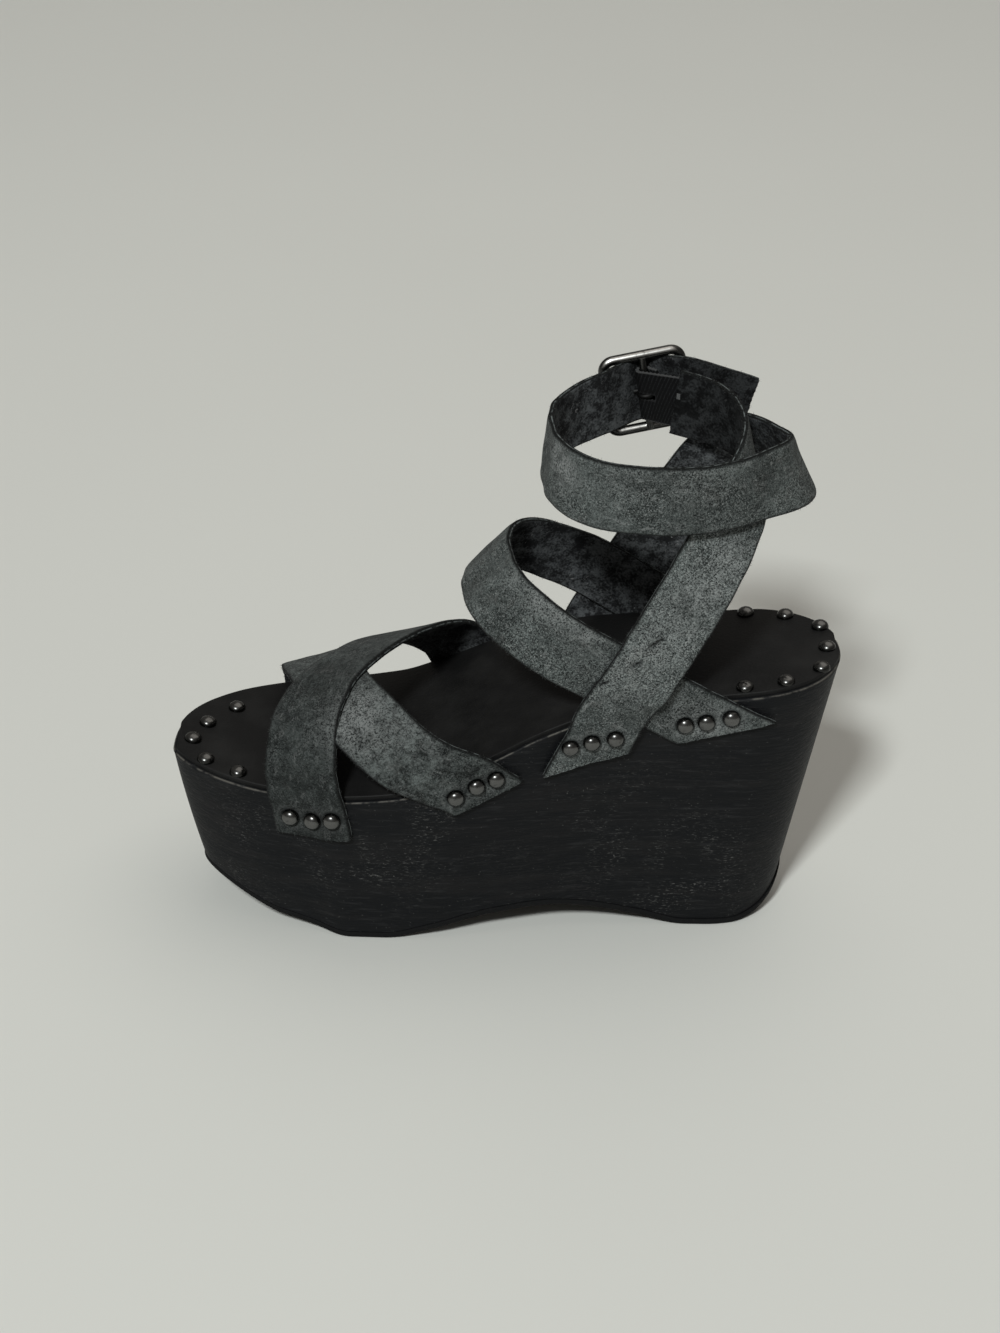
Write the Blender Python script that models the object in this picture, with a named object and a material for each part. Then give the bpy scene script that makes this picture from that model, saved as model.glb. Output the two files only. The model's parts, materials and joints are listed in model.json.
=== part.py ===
"""Platform sandal, right shoe: a carved wedge with crossed, studded leather straps.

Frame: +X runs from toe to heel, +Y to the outer (lateral) side, +Z up. The floor is z = 0 and the
origin lies on it, under the middle of the shoe's length and width. Sizes are in millimetres and are
turned into metres when a mesh is made.
"""

import math

import bmesh
import bpy
from mathutils import Euler, Vector

MM = 0.001
MEDIAL = -1
LATERAL = 1

# From the heel's middle line, on which the tables below are set out, to the middle of the width
WIDTH_MIDDLE = Vector((0.0, 1.54, 0.0))

# Driving sizes of the sole
LENGTH = 246.0
GAP = 0.3
WALL_GAP = 0.45
OUTSOLE = 2.7
INSOLE = 1.5
INSOLE_INSET = 1.5
EDGE_ROUND = 0.8
OUTSOLE_LIP = 0.5

# Driving sizes of the straps and their studs
STRAP = 2.4
FOREFOOT_WIDTH = 26.6
ANKLE_WIDTH = 25.4
FUSE = 0.3
HUG_HEIGHT = 6.0
STUD_DIAMETER = 6.4
STUD_HEIGHT = 2.5
STUD_RINGS = (0.0, 32.0, 62.0)
STUD_SEGMENTS = 10

# Domed studs at the ends of the straps. Columns: shift across the strap on the medial side, distance
# from the cut
FRONT_STUDS = (
    (-8.8, 9.1),
    (-1.0, 7.7),
    (7.5, 8.0),
)
REAR_STUDS = (
    (-5.9, 8.6),
    (1.9, 7.8),
    (8.4, 6.8),
)
INSTEP_STUDS = (
    (-7.0, 6.2),
    (-1.0, 6.9),
    (3.8, 7.9),
)
ANKLE_STUDS = (
    (-4.8, 8.7),
    (2.7, 9.7),
    (9.1, 9.8),
)

# Domed studs along the edge of the insole. Columns: x, y
TOE_STUDS = (
    (-97.7, -28.7),
    (-110.2, -22.3),
    (-116.0, -9.9),
    (-111.6, 2.6),
    (-101.7, 15.5),
)
HEEL_STUDS = (
    (85.8, -25.6),
    (100.8, -23.8),
    (114.3, -15.8),
    (117.8, -1.6),
    (116.8, 13.9),
    (104.8, 23.7),
    (90.3, 27.7),
)

# Buckle on the outer side of the ankle, between the straps
BUCKLE_CENTRE = Vector((46.5, 38.2, 193.0))
BUCKLE_YAW = math.radians(9.0)
BUCKLE_ROLL = math.radians(9.0)
BUCKLE_LENGTH = 32.0
BUCKLE_HEIGHT = 33.8
BUCKLE_WIRE = 2.9
BUCKLE_CORNER = 4.0
BAR_SINK = 2.0
BAR_DIAMETER = 2.8
PRONG_DIAMETER = 2.0
PRONG_HOLE = 3.8
PRONG_HOLE_LEAD = 0.3

# Prong: turn of its hook round the bar, then its bend as shares of the way to the front of the frame
PRONG_TURN = (-60.0, -250.0)
PRONG_BEND = (0.6, 0.9)
PRONG_REACH = 1.7

# Elastic looped round the buckle's centre bar and sewn inside the inner ankle strap
ELASTIC = 1.2
ELASTIC_WIDTH = 21.0
ELASTIC_TURN = (-110.0, -355.0)
ELASTIC_TAIL = Vector((2.6, -1.6, 0.0))
ELASTIC_NOTCH = Vector((9.0, 9.0, 5.0))
ELASTIC_NOTCH_PLACE = Vector((-0.5, 0.8, 0.0))

# Outline of the footbed. Columns: x, medial side, lateral side
OUTLINE = (
    (-123.0, -33.6, 29.5),
    (-95.0, -38.3, 36.2),
    (-75.0, -40.4, 41.1),
    (-60.0, -44.0, 44.0),
    (-30.0, -44.0, 47.0),
    (0.0, -40.0, 45.0),
    (35.0, -34.0, 39.0),
    (75.0, -31.0, 34.0),
    (123.0, -30.5, 31.0),
)

# Round ends of the outline: length of the curve and its power, on each side
TOE_ROUND = {MEDIAL: (61.0, 2.24), LATERAL: (45.0, 2.4)}
HEEL_ROUND = {MEDIAL: (34.0, 2.1), LATERAL: (34.0, 2.1)}

# Sideways place of the toe's tip and of the heel's
TIPS = (-12.8, 0.25)

# Top edge of the wedge: toe spring, ball, arch and heel seat. Columns: x, height
FOOTBED = (
    (-123.0, 65.0),
    (-105.0, 62.6),
    (-85.0, 61.6),
    (-60.0, 62.2),
    (-40.0, 64.2),
    (-22.0, 71.0),
    (-4.0, 80.5),
    (14.0, 89.5),
    (35.0, 96.5),
    (60.0, 101.0),
    (80.0, 103.5),
    (100.0, 106.3),
    (123.0, 109.0),
)

# Underside of the outsole: flat at ball and heel, with the arch between. Columns: x, height
TREAD = (
    (-113.0, 17.0),
    (-104.0, 13.6),
    (-93.0, 9.2),
    (-84.0, 5.9),
    (-75.0, 4.0),
    (-67.0, 2.1),
    (-60.0, 0.5),
    (-54.0, 0.0),
    (-42.0, 0.0),
    (-24.0, 4.6),
    (-3.0, 9.6),
    (16.0, 11.2),
    (30.0, 10.0),
    (54.0, 4.6),
    (72.0, 0.0),
    (90.0, 0.0),
    (98.0, 2.0),
    (105.0, 7.0),
    (110.0, 16.0),
)

# How the wedge's walls lean in towards the floor
TOE_RAKE = 11.0
HEEL_RAKE = 14.0
TOE_BULGE = 0.6
TOE_INSET = 1.0
HEEL_INSET = 5.0

STATIONS = 56
WALL_LEVELS = (0.25, 0.5, 0.75, 1.0)
STRAP_STEP = 5.0
STRAP_COLUMNS = 5

# Forefoot of the last: its ridge lies to the big toe's side. Columns: x, ridge, crown height
FOREFOOT = (
    (-95.0, -11.0, 82.0),
    (-76.0, -11.0, 89.5),
    (-50.0, -11.0, 99.5),
    (-30.0, -9.0, 105.0),
    (0.0, -6.0, 115.0),
)
MEDIAL_POWER = 2.6
LATERAL_POWER = 1.7

# Forefoot straps. Columns: x, turn over the foot (0 medial edge, 90 ridge, 180 lateral edge), lift
OVER_STRAP = (
    (-73.0, 8.0, 0.0),
    (-73.5, 25.0, 0.6),
    (-72.5, 50.0, 1.6),
    (-69.5, 70.0, 2.1),
    (-64.0, 88.0, 2.1),
    (-56.5, 100.0, 2.1),
    (-49.0, 111.0, 2.1),
    (-40.0, 124.0, 1.4),
    (-30.0, 142.0, 0.6),
    (-20.0, 163.0, 0.0),
)
UNDER_STRAP = (
    (-72.0, 172.0, 0.0),
    (-72.5, 156.0, 0.0),
    (-72.0, 138.0, 0.0),
    (-70.0, 118.0, 0.0),
    (-66.0, 99.0, 0.0),
    (-60.5, 74.0, 0.0),
    (-50.0, 46.0, 0.0),
    (-38.5, 24.0, 0.0),
    (-27.0, 9.0, 0.0),
)

# Ends of the straps on the walls: middle of the cut, then a place towards the top edge. Columns: x,
# height
FRONT_END = (
    (-68.3, 46.6),
    (-70.7, 59.2),
)
REAR_END = (
    (-6.0, 65.5),
    (-15.0, 72.5),
)
ANKLE_END = (
    (29.0, 78.2),
    (33.0, 88.2),
)
INSTEP_END = (
    (79.5, 90.8),
    (65.5, 98.3),
)
INSTEP_CUT = Vector((1.0, 0.0, 0.27))

# Instep strap from the heel's wall to the instep. Columns: x, medial y, lateral y, height, facing
# from the side (0) to the toe (90), tilt up
INSTEP_STRAP = (
    (50.0, -33.4, 37.6, 107.5, 0.0, 3.0),
    (32.0, -34.0, 39.0, 117.5, 3.0, 5.0),
    (16.0, -32.0, 36.5, 125.5, 12.0, 12.0),
    (5.0, -27.5, 31.0, 131.5, 27.0, 22.0),
    (-2.2, -21.0, 24.0, 135.0, 42.0, 30.0),
    (-6.9, -11.5, 14.5, 137.4, 62.0, 37.0),
)
INSTEP_CROWN = (-8.6, 1.5, 138.2, 180.0, 40.0)

# Ankle straps, from the arch up and round the ankle. Columns: x, y, z, facing (0 heel, 90 lateral
# side, 180 toe, -90 medial side), tilt up
INNER_ANKLE = (
    (37.5, -36.4, 99.0, -90.0, 0.0),
    (45.0, -37.4, 113.0, -90.0, 3.0),
    (54.0, -36.6, 131.0, -90.0, 6.0),
    (63.5, -34.0, 150.0, -88.0, 10.0),
    (72.0, -28.8, 168.0, -75.0, 14.0),
    (78.5, -20.0, 181.0, -50.0, 16.0),
    (81.5, -8.0, 187.5, -20.0, 16.0),
    (81.0, 4.0, 189.5, 10.0, 14.0),
    (77.5, 15.0, 190.5, 35.0, 10.0),
    (71.5, 23.5, 191.0, 58.0, 4.0),
    (64.0, 28.5, 191.4, 72.0, 0.0),
    (57.0, 30.8, 192.0, 78.0, 0.0),
)
OUTER_ANKLE = (
    (37.5, 41.1, 99.0, 90.0, 0.0),
    (45.0, 41.3, 113.0, 90.0, 3.0),
    (54.0, 39.8, 131.0, 90.0, 6.0),
    (63.5, 37.0, 150.0, 88.0, 10.0),
    (74.0, 33.3, 169.0, 76.0, 15.0),
    (83.5, 26.5, 180.0, 60.0, 22.0),
    (91.0, 15.0, 184.0, 42.0, 26.0),
    (97.5, 4.0, 185.0, 16.0, 27.0),
    (99.5, -5.5, 186.0, -20.0, 25.0),
    (93.5, -15.0, 187.0, -50.0, 14.0),
    (85.5, -21.5, 187.0, -56.0, 8.0),
    (74.0, -29.5, 187.0, -62.0, 4.0),
    (60.0, -35.3, 187.0, -78.0, 3.0),
    (45.0, -36.7, 187.0, -90.0, 3.0),
    (29.0, -33.8, 187.0, -105.0, 3.0),
    (19.5, -26.5, 187.2, -130.0, 3.0),
    (13.4, -15.5, 187.5, -158.0, 3.0),
    (11.6, -3.0, 187.7, -180.0, 3.0),
    (12.8, 8.5, 188.0, -202.0, 3.0),
    (17.5, 18.0, 188.4, -225.0, 3.0),
    (24.0, 25.3, 189.2, -240.0, 3.0),
    (32.4, 30.1, 191.0, -245.0, 2.0),
    (39.3, 35.4, 192.2, -240.0, 0.0),
    (46.2, 40.4, 193.0, -262.0, 0.0),
    (53.0, 38.4, 194.0, -280.0, 0.0),
    (60.5, 35.4, 195.0, -276.0, 0.0),
    (73.0, 35.8, 191.5, -270.0, 0.0),
    (88.0, 35.0, 187.0, -268.0, 0.0),
)
WALL_LIFT = 1.3
TIP_SLANT = 0.35


def through(rows, place):
    """Monotone cubic through rows of (place, value, value, ...); returns the values at a place."""
    places = [row[0] for row in rows]
    place = min(max(place, places[0]), places[-1])
    spot = 0
    while spot < len(rows) - 2 and place > places[spot + 1]:
        spot += 1
    span = places[spot + 1] - places[spot]
    t = (place - places[spot]) / span
    values = []
    for column in range(1, len(rows[0])):
        start = slope_at(rows, spot, column)
        finish = slope_at(rows, spot + 1, column)
        low = rows[spot][column]
        high = rows[spot + 1][column]
        values.append((1 + 2 * t) * (1 - t) ** 2 * low + t * (1 - t) ** 2 * span * start
                      + t * t * (3 - 2 * t) * high + t * t * (t - 1) * span * finish)
    return values


def slope_at(rows, spot, column):
    """Slope of the monotone cubic at one row: the harmonic mean of the slopes beside it."""
    def rise(index):
        ahead = rows[index + 1]
        here = rows[index]
        return (ahead[column] - here[column]) / (ahead[0] - here[0])

    if spot == 0:
        return rise(0)
    if spot == len(rows) - 1:
        return rise(spot - 1)
    before = rise(spot - 1)
    after = rise(spot)
    if before * after <= 0:
        return 0.0
    return 2 * before * after / (before + after)


def mix(low, high, share):
    """Straight blend of two values."""
    return low + (high - low) * share


def footbed(x):
    """Height of the wedge's top edge."""
    return through(FOOTBED, x)[0]


def tread(x):
    """Height of the outsole's underside."""
    return through(TREAD, x)[0]


def length_share(x):
    """Place along the shoe, from 0 at the toe to 1 at the heel."""
    return x / LENGTH + 0.5


def end_share(x, side):
    """Share of one side's full width left by the round toe and heel."""
    share = 1.0
    for near_end, ends in ((x + LENGTH / 2, TOE_ROUND), (LENGTH / 2 - x, HEEL_ROUND)):
        length, power = ends[side]
        if near_end < length:
            share *= max(0.0, 1 - (1 - near_end / length) ** power) ** (1 / power)
    return share


def edge_side(x, side, inset=0.0):
    """Sideways place of the footbed's edge at x, drawn in by an inset."""
    medial, lateral = through(OUTLINE, x)
    tip_line = mix(*TIPS, length_share(x))
    reach = abs((medial if side == MEDIAL else lateral) - tip_line) * end_share(x, side)
    return tip_line + side * max(0.0, reach - inset)


def rake(x):
    """How far the foot of the wall stands behind or before its top edge."""
    return mix(TOE_RAKE, -HEEL_RAKE, length_share(x))


def wall_foot(x):
    """Height of the wedge's underside below the top edge at x."""
    return tread(x + rake(x)) + OUTSOLE + GAP


def wall_point(x, drop, side):
    """Point of the wedge's side: x on the top edge, drop from 0 at the top to 1 at the foot."""
    inset = mix(TOE_INSET, HEEL_INSET, length_share(x)) * end_share(x, side)
    toe_share = max(0.0, 1 - 2 * length_share(x)) ** 2
    bulge = TOE_BULGE * toe_share * 4 * drop * (1 - drop)
    return Vector((x + rake(x) * drop - bulge,
                   edge_side(x, side) - side * inset * drop,
                   mix(footbed(x), wall_foot(x), drop)))


def wall_side(x, z, side):
    """Sideways place of the wedge's wall at x and z; above the top edge it is the edge itself."""
    top_x = x
    drop = 0.0
    for _ in range(6):
        top = footbed(top_x)
        drop = min(max((top - z) / (top - wall_foot(top_x)), 0.0), 1.0)
        top_x = x - rake(top_x) * drop
    return wall_point(top_x, drop, side).y


def stations(inset=0.0):
    """Places along the length, close together at the round ends."""
    reach = LENGTH / 2 - inset
    return [-reach * math.cos(math.pi * k / STATIONS) for k in range(STATIONS + 1)]


def ring_around(point_of, places):
    """Closed ring of points: medial side from toe to heel, then lateral side back to the toe."""
    inner = [point_of(x, MEDIAL) for x in places]
    outer = [point_of(x, LATERAL) for x in places]
    for end in (0, -1):
        inner[end] = (inner[end] + outer[end]) / 2
    return inner + outer[-2:0:-1]


def layered_mesh(name, rings):
    """Closed solid of rings from top to bottom, capped by strips across the shoe."""
    shape = bmesh.new()
    loops = [[shape.verts.new(point * MM) for point in ring] for ring in rings]
    count = len(loops[0])
    for upper, lower in zip(loops, loops[1:]):
        for k in range(count):
            ahead = (k + 1) % count
            shape.faces.new((upper[k], upper[ahead], lower[ahead], lower[k]))
    for loop in (loops[0], loops[-1]):
        for k in range(count // 2):
            corners = (loop[k], loop[k + 1], loop[-(k + 1) % count], loop[-k % count])
            shape.faces.new(tuple(dict.fromkeys(corners)))
    return finished_mesh(name, shape)


def finished_mesh(name, shape):
    """Mesh of a closed shape, with its faces pointing out."""
    bmesh.ops.recalc_face_normals(shape, faces=shape.faces)
    mesh = bpy.data.meshes.new(name)
    shape.to_mesh(mesh)
    shape.free()
    return mesh


def add_object(name, mesh, material=None):
    """Object in the scene, with its material."""
    piece = bpy.data.objects.new(name, mesh)
    piece.location = -WIDTH_MIDDLE * MM
    bpy.context.scene.collection.objects.link(piece)
    if material:
        mesh.materials.append(material)
    return piece


def combine(piece, other, operation):
    """Join or cut a piece with another shape, which then stays hidden as a guide."""
    change = piece.modifiers.new(other.name, "BOOLEAN")
    change.operation = operation
    change.solver = "EXACT"
    change.object = other
    other.hide_render = True
    other.hide_viewport = True
    other.display_type = "WIRE"


def finish_material(name, colour, roughness, metallic=0.0):
    """Principled material of one finish."""
    material = bpy.data.materials.new(name)
    material.use_nodes = True
    shader = material.node_tree.nodes["Principled BSDF"]
    shader.inputs["Base Color"].default_value = (*colour, 1.0)
    shader.inputs["Roughness"].default_value = roughness
    shader.inputs["Metallic"].default_value = metallic
    return material


def build_platform(material):
    """Carved wedge: raked walls between footbed and outsole, with a broken top edge."""
    places = stations()

    def rim(x, side):
        near = (LENGTH / 2 - EDGE_ROUND) / (LENGTH / 2)
        return Vector((x * near, edge_side(x, side, EDGE_ROUND), footbed(x)))

    def shoulder(x, side):
        return wall_point(x, 0.0, side) - Vector((0.0, 0.0, EDGE_ROUND))

    rings = [ring_around(rim, places), ring_around(shoulder, places)]
    for drop in WALL_LEVELS:
        rings.append(ring_around(lambda x, side: wall_point(x, drop, side), places))
    add_object("platform", layered_mesh("platform", rings), material)


def build_outsole(material):
    """Rubber sheet under the wedge, standing a little proud of it."""
    places = stations()

    def level(height, lip):
        def point(x, side):
            foot = wall_point(x, 1.0, side)
            spread = 1 + lip / (LENGTH / 2)
            return Vector((foot.x * spread, foot.y + side * lip, tread(x + rake(x)) + height))
        return ring_around(point, places)

    rings = [level(OUTSOLE, OUTSOLE_LIP), level(EDGE_ROUND, OUTSOLE_LIP), level(0.0, 0.0)]
    add_object("outsole", layered_mesh("outsole", rings), material)


def build_insole(material):
    """Leather sheet on the footbed."""
    places = stations(INSOLE_INSET)

    def level(height):
        return ring_around(
            lambda x, side: Vector((x, edge_side(x, side, INSOLE_INSET), footbed(x) + height)), places)

    rings = [level(GAP + INSOLE), level(GAP)]
    add_object("insole", layered_mesh("insole", rings), material)


def facing_normal(facing, tilt):
    """Unit vector from a compass direction and a tilt above the horizon, in degrees."""
    around = math.radians(facing)
    up = math.radians(tilt)
    return Vector((math.cos(up) * math.cos(around), math.cos(up) * math.sin(around), math.sin(up)))


def forefoot_point(x, turn):
    """Point of the last's forefoot: 0 at the medial edge, 90 on the ridge, 180 at the lateral edge."""
    ridge, crown = through(FOREFOOT, x)
    side = MEDIAL if turn < 90 else LATERAL
    power = MEDIAL_POWER if turn < 90 else LATERAL_POWER
    angle = math.radians(turn)
    reach = abs(edge_side(x, side) + side * WALL_GAP - ridge)
    return Vector((x, ridge + side * reach * abs(math.cos(angle)) ** (2 / power),
                   mix(footbed(x), crown, math.sin(angle) ** (2 / power))))


def forefoot_row(x, turn, lift):
    """Strap row on the forefoot: its point, the way it faces and its lift off the last."""
    nudge = 1.0
    along = forefoot_point(x + nudge, turn) - forefoot_point(x - nudge, turn)
    across = forefoot_point(x, turn + nudge) - forefoot_point(x, turn - nudge)
    facing = along.cross(across).normalized()
    return forefoot_point(x, turn) + facing * lift, facing, lift


def wall_row(end, side, lift=0.0):
    """Strap row on the wedge's wall."""
    x, z = end
    nudge = 1.0
    slope_x = (wall_side(x + nudge, z, side) - wall_side(x - nudge, z, side)) / (2 * nudge)
    slope_z = (wall_side(x, z + nudge, side) - wall_side(x, z - nudge, side)) / (2 * nudge)
    facing = (Vector((-slope_x, 1.0, -slope_z)) * side).normalized()
    return Vector((x, wall_side(x, z, side) + side * WALL_GAP, z)) + facing * lift, facing, lift


class Strap:
    """Flat strap swept along rows of (inner middle point, facing, lift), with slanted end cuts."""

    def __init__(self, rows, width):
        self.rows = rows
        self.width = width
        self.places = [0.0]
        for (point, _, _), (ahead, _, _) in zip(rows, rows[1:]):
            self.places.append(self.places[-1] + (ahead - point).length)
        self.length = self.places[-1]
        self.slants = [0.0, 0.0]

    def row_curve(self, pick, along):
        """Catmull-Rom curve through one column of the rows."""
        spot = 0
        while spot < len(self.rows) - 2 and along > self.places[spot + 1]:
            spot += 1
        span = self.places[spot + 1] - self.places[spot]
        t = (along - self.places[spot]) / span

        def slope(index):
            low = max(index - 1, 0)
            high = min(index + 1, len(self.rows) - 1)
            rise = pick(self.rows[high]) - pick(self.rows[low])
            return rise / (self.places[high] - self.places[low])

        low = pick(self.rows[spot])
        high = pick(self.rows[spot + 1])
        return (low * ((1 + 2 * t) * (1 - t) ** 2) + slope(spot) * (t * (1 - t) ** 2 * span)
                + high * (t * t * (3 - 2 * t)) + slope(spot + 1) * (t * t * (t - 1) * span))

    def middle(self, along):
        """Middle line, carried on straight past the ends."""
        inside = min(max(along, 0.0), self.length)
        point = self.row_curve(lambda row: row[0], inside)
        if inside != along:
            point += self.heading(inside) * (along - inside)
        return point

    def heading(self, along):
        """Direction of the middle line."""
        nudge = 0.5
        low = min(max(along - nudge, 0.0), self.length)
        high = min(max(along + nudge, 0.0), self.length)
        pick = lambda row: row[0]
        return (self.row_curve(pick, high) - self.row_curve(pick, low)).normalized()

    def frame(self, along):
        """Heading, cross direction and facing of the strap."""
        inside = min(max(along, 0.0), self.length)
        heading = self.heading(inside)
        across = self.row_curve(lambda row: row[1], inside).cross(heading).normalized()
        return heading, across, heading.cross(across)

    def slant_end(self, end, direction):
        """Cut one end (0 start, 1 finish) along a direction that lies in the strap."""
        heading, across, _ = self.frame(self.length * end)
        self.slants[end] = direction.dot(heading) / direction.dot(across)

    def surface(self, share, shift):
        """Inner point and facing: share from 0 to 1 along the strap, shift across it."""
        along = mix(self.slants[0] * shift, self.length + self.slants[1] * shift, share)
        _, across, facing = self.frame(along)
        point = self.middle(along) + across * shift
        lift = self.row_curve(lambda row: row[2], min(max(along, 0.0), self.length))
        side = MEDIAL if point.y < 0 else LATERAL
        hug = min(max((footbed(point.x) + HUG_HEIGHT - point.z) / HUG_HEIGHT, 0.0), 1.0)
        point.y = mix(point.y, wall_side(point.x, point.z, side) + side * (WALL_GAP + lift), hug)
        return point, facing

    def mesh(self, name):
        """Closed solid of the strap."""
        sections = max(8, round(self.length / STRAP_STEP))
        shape = bmesh.new()
        rings = []
        for k in range(sections + 1):
            places = []
            for column in range(STRAP_COLUMNS):
                shift = mix(-0.5, 0.5, column / (STRAP_COLUMNS - 1)) * self.width
                places.append(self.surface(k / sections, shift))
            ring = [shape.verts.new(point * MM) for point, _ in places]
            outer = [point + facing * STRAP for point, facing in places]
            ring += [shape.verts.new(point * MM) for point in reversed(outer)]
            rings.append(ring)
        count = len(rings[0])
        for ring, ahead in zip(rings, rings[1:]):
            for k in range(count):
                following = (k + 1) % count
                shape.faces.new((ring[k], ring[following], ahead[following], ahead[k]))
        for ring in (rings[0], rings[-1]):
            for k in range(STRAP_COLUMNS - 1):
                shape.faces.new((ring[k], ring[k + 1], ring[count - 2 - k], ring[count - 1 - k]))
        return finished_mesh(name, shape)

    def stud_places(self, end, layout, turn):
        """Outer points and facings of the studs at one end; turn is -1 for a mirrored layout."""
        stretch = math.hypot(1.0, self.slants[end])
        places = []
        for medial_shift, inset in layout:
            shift = medial_shift * turn
            back = inset * stretch / self.length
            share = 1 - back if end else back
            point, facing = self.surface(share, shift)
            nudge = 1.0 / self.length
            along = self.surface(share + nudge, shift)[0] - self.surface(share - nudge, shift)[0]
            across = self.surface(share, shift + 1.0)[0] - self.surface(share, shift - 1.0)[0]
            upright = along.cross(across).normalized()
            places.append((point + facing * STRAP + upright * WALL_GAP, upright))
        return places


def top_edge_direction(x):
    """Direction of the wedge's top edge in side view."""
    nudge = 2.0
    return Vector((2 * nudge, 0.0, footbed(x + nudge) - footbed(x - nudge))).normalized()


def forefoot_strap(rows, sides):
    """Forefoot strap from its front end on one side to its rear end on the other."""
    front, rear = sides
    start = [wall_row(place, front) for place in FRONT_END]
    path = [forefoot_row(*row) for row in rows]
    finish = [wall_row(place, rear) for place in reversed(REAR_END)]
    strap = Strap(start + path + finish, FOREFOOT_WIDTH)
    strap.slant_end(0, top_edge_direction(FRONT_END[0][0]))
    strap.slant_end(1, top_edge_direction(REAR_END[0][0]))
    return strap


def instep_strap():
    """Instep strap from the medial wall over the instep to the lateral wall."""
    def half(side):
        rows = [wall_row(place, side) for place in INSTEP_END]
        for x, medial, lateral, z, forward, tilt in INSTEP_STRAP:
            point = Vector((x, medial if side == MEDIAL else lateral, z))
            rows.append((point, facing_normal(side * (90 + forward), tilt), 0.0))
        return rows

    crown_x, crown_y, crown_z, facing, tilt = INSTEP_CROWN
    crown = (Vector((crown_x, crown_y, crown_z)), facing_normal(facing, tilt), 0.0)
    strap = Strap(half(MEDIAL) + [crown] + half(LATERAL)[::-1], ANKLE_WIDTH)
    for end in (0, 1):
        strap.slant_end(end, INSTEP_CUT)
    return strap


def ankle_strap(rows, side):
    """Ankle strap from the arch's wall up and round the ankle."""
    cut, above = ANKLE_END
    path = [wall_row(cut, side), wall_row(above, side, WALL_LIFT)]
    for x, y, z, facing, tilt in rows:
        path.append((Vector((x, y, z)), facing_normal(facing, tilt), STRAP - FUSE))
    strap = Strap(path, ANKLE_WIDTH)
    strap.slant_end(0, top_edge_direction(cut[0]))
    return strap


def stud_mesh(name):
    """Domed head with a flat seat, standing on the origin along +Z."""
    shape = bmesh.new()
    rings = []
    for rise in STUD_RINGS:
        reach = STUD_DIAMETER / 2 * math.cos(math.radians(rise))
        height = STUD_HEIGHT * math.sin(math.radians(rise))
        ring = []
        for k in range(STUD_SEGMENTS):
            turn = 2 * math.pi * k / STUD_SEGMENTS
            point = Vector((reach * math.cos(turn), reach * math.sin(turn), height))
            ring.append(shape.verts.new(point * MM))
        rings.append(ring)
    for lower, upper in zip(rings, rings[1:]):
        for k in range(STUD_SEGMENTS):
            ahead = (k + 1) % STUD_SEGMENTS
            shape.faces.new((lower[k], lower[ahead], upper[ahead], upper[k]))
    shape.faces.new(rings[0])
    top = shape.verts.new(Vector((0.0, 0.0, STUD_HEIGHT)) * MM)
    for k in range(STUD_SEGMENTS):
        shape.faces.new((rings[-1][k], rings[-1][(k + 1) % STUD_SEGMENTS], top))
    mesh = finished_mesh(name, shape)
    mesh.shade_smooth()
    return mesh


def place_stud(name, mesh, seat, facing):
    """One stud on its seat."""
    piece = add_object(name, mesh)
    piece.rotation_euler = facing.to_track_quat("Z", "Y").to_euler()
    piece.location = (seat - WIDTH_MIDDLE) * MM


def footbed_stud_place(x, y):
    """Seat and facing of a stud on the insole."""
    slope = top_edge_direction(x)
    facing = Vector((-slope.z, 0.0, slope.x))
    return Vector((x, y, footbed(x) + GAP + INSOLE)) + facing * GAP, facing


def buckle_point(along, out, up):
    """Point in the buckle's own frame: along the strap, out from the ankle, up."""
    turned = Vector((along, out, up))
    turned.rotate(Euler((0.0, -BUCKLE_ROLL, BUCKLE_YAW)))
    return BUCKLE_CENTRE + turned


def tube(name, points, diameter, closed=False, sides=2):
    """Round wire along points, as a mesh."""
    curve = bpy.data.curves.new(name, "CURVE")
    curve.dimensions = "3D"
    curve.bevel_depth = diameter / 2 * MM
    curve.bevel_resolution = sides
    curve.use_fill_caps = not closed
    spline = curve.splines.new("POLY")
    spline.points.add(len(points) - 1)
    for spot, point in zip(spline.points, points):
        spot.co = (*(point * MM), 1.0)
    spline.use_cyclic_u = closed
    holder = bpy.data.objects.new(name, curve)
    bpy.context.scene.collection.objects.link(holder)
    bpy.context.view_layer.update()
    mesh = bpy.data.meshes.new_from_object(holder.evaluated_get(bpy.context.evaluated_depsgraph_get()))
    bpy.data.objects.remove(holder, do_unlink=True)
    shape = bmesh.new()
    shape.from_mesh(mesh)
    bmesh.ops.remove_doubles(shape, verts=shape.verts, dist=1e-7)
    return finished_mesh(name, shape)


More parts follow.
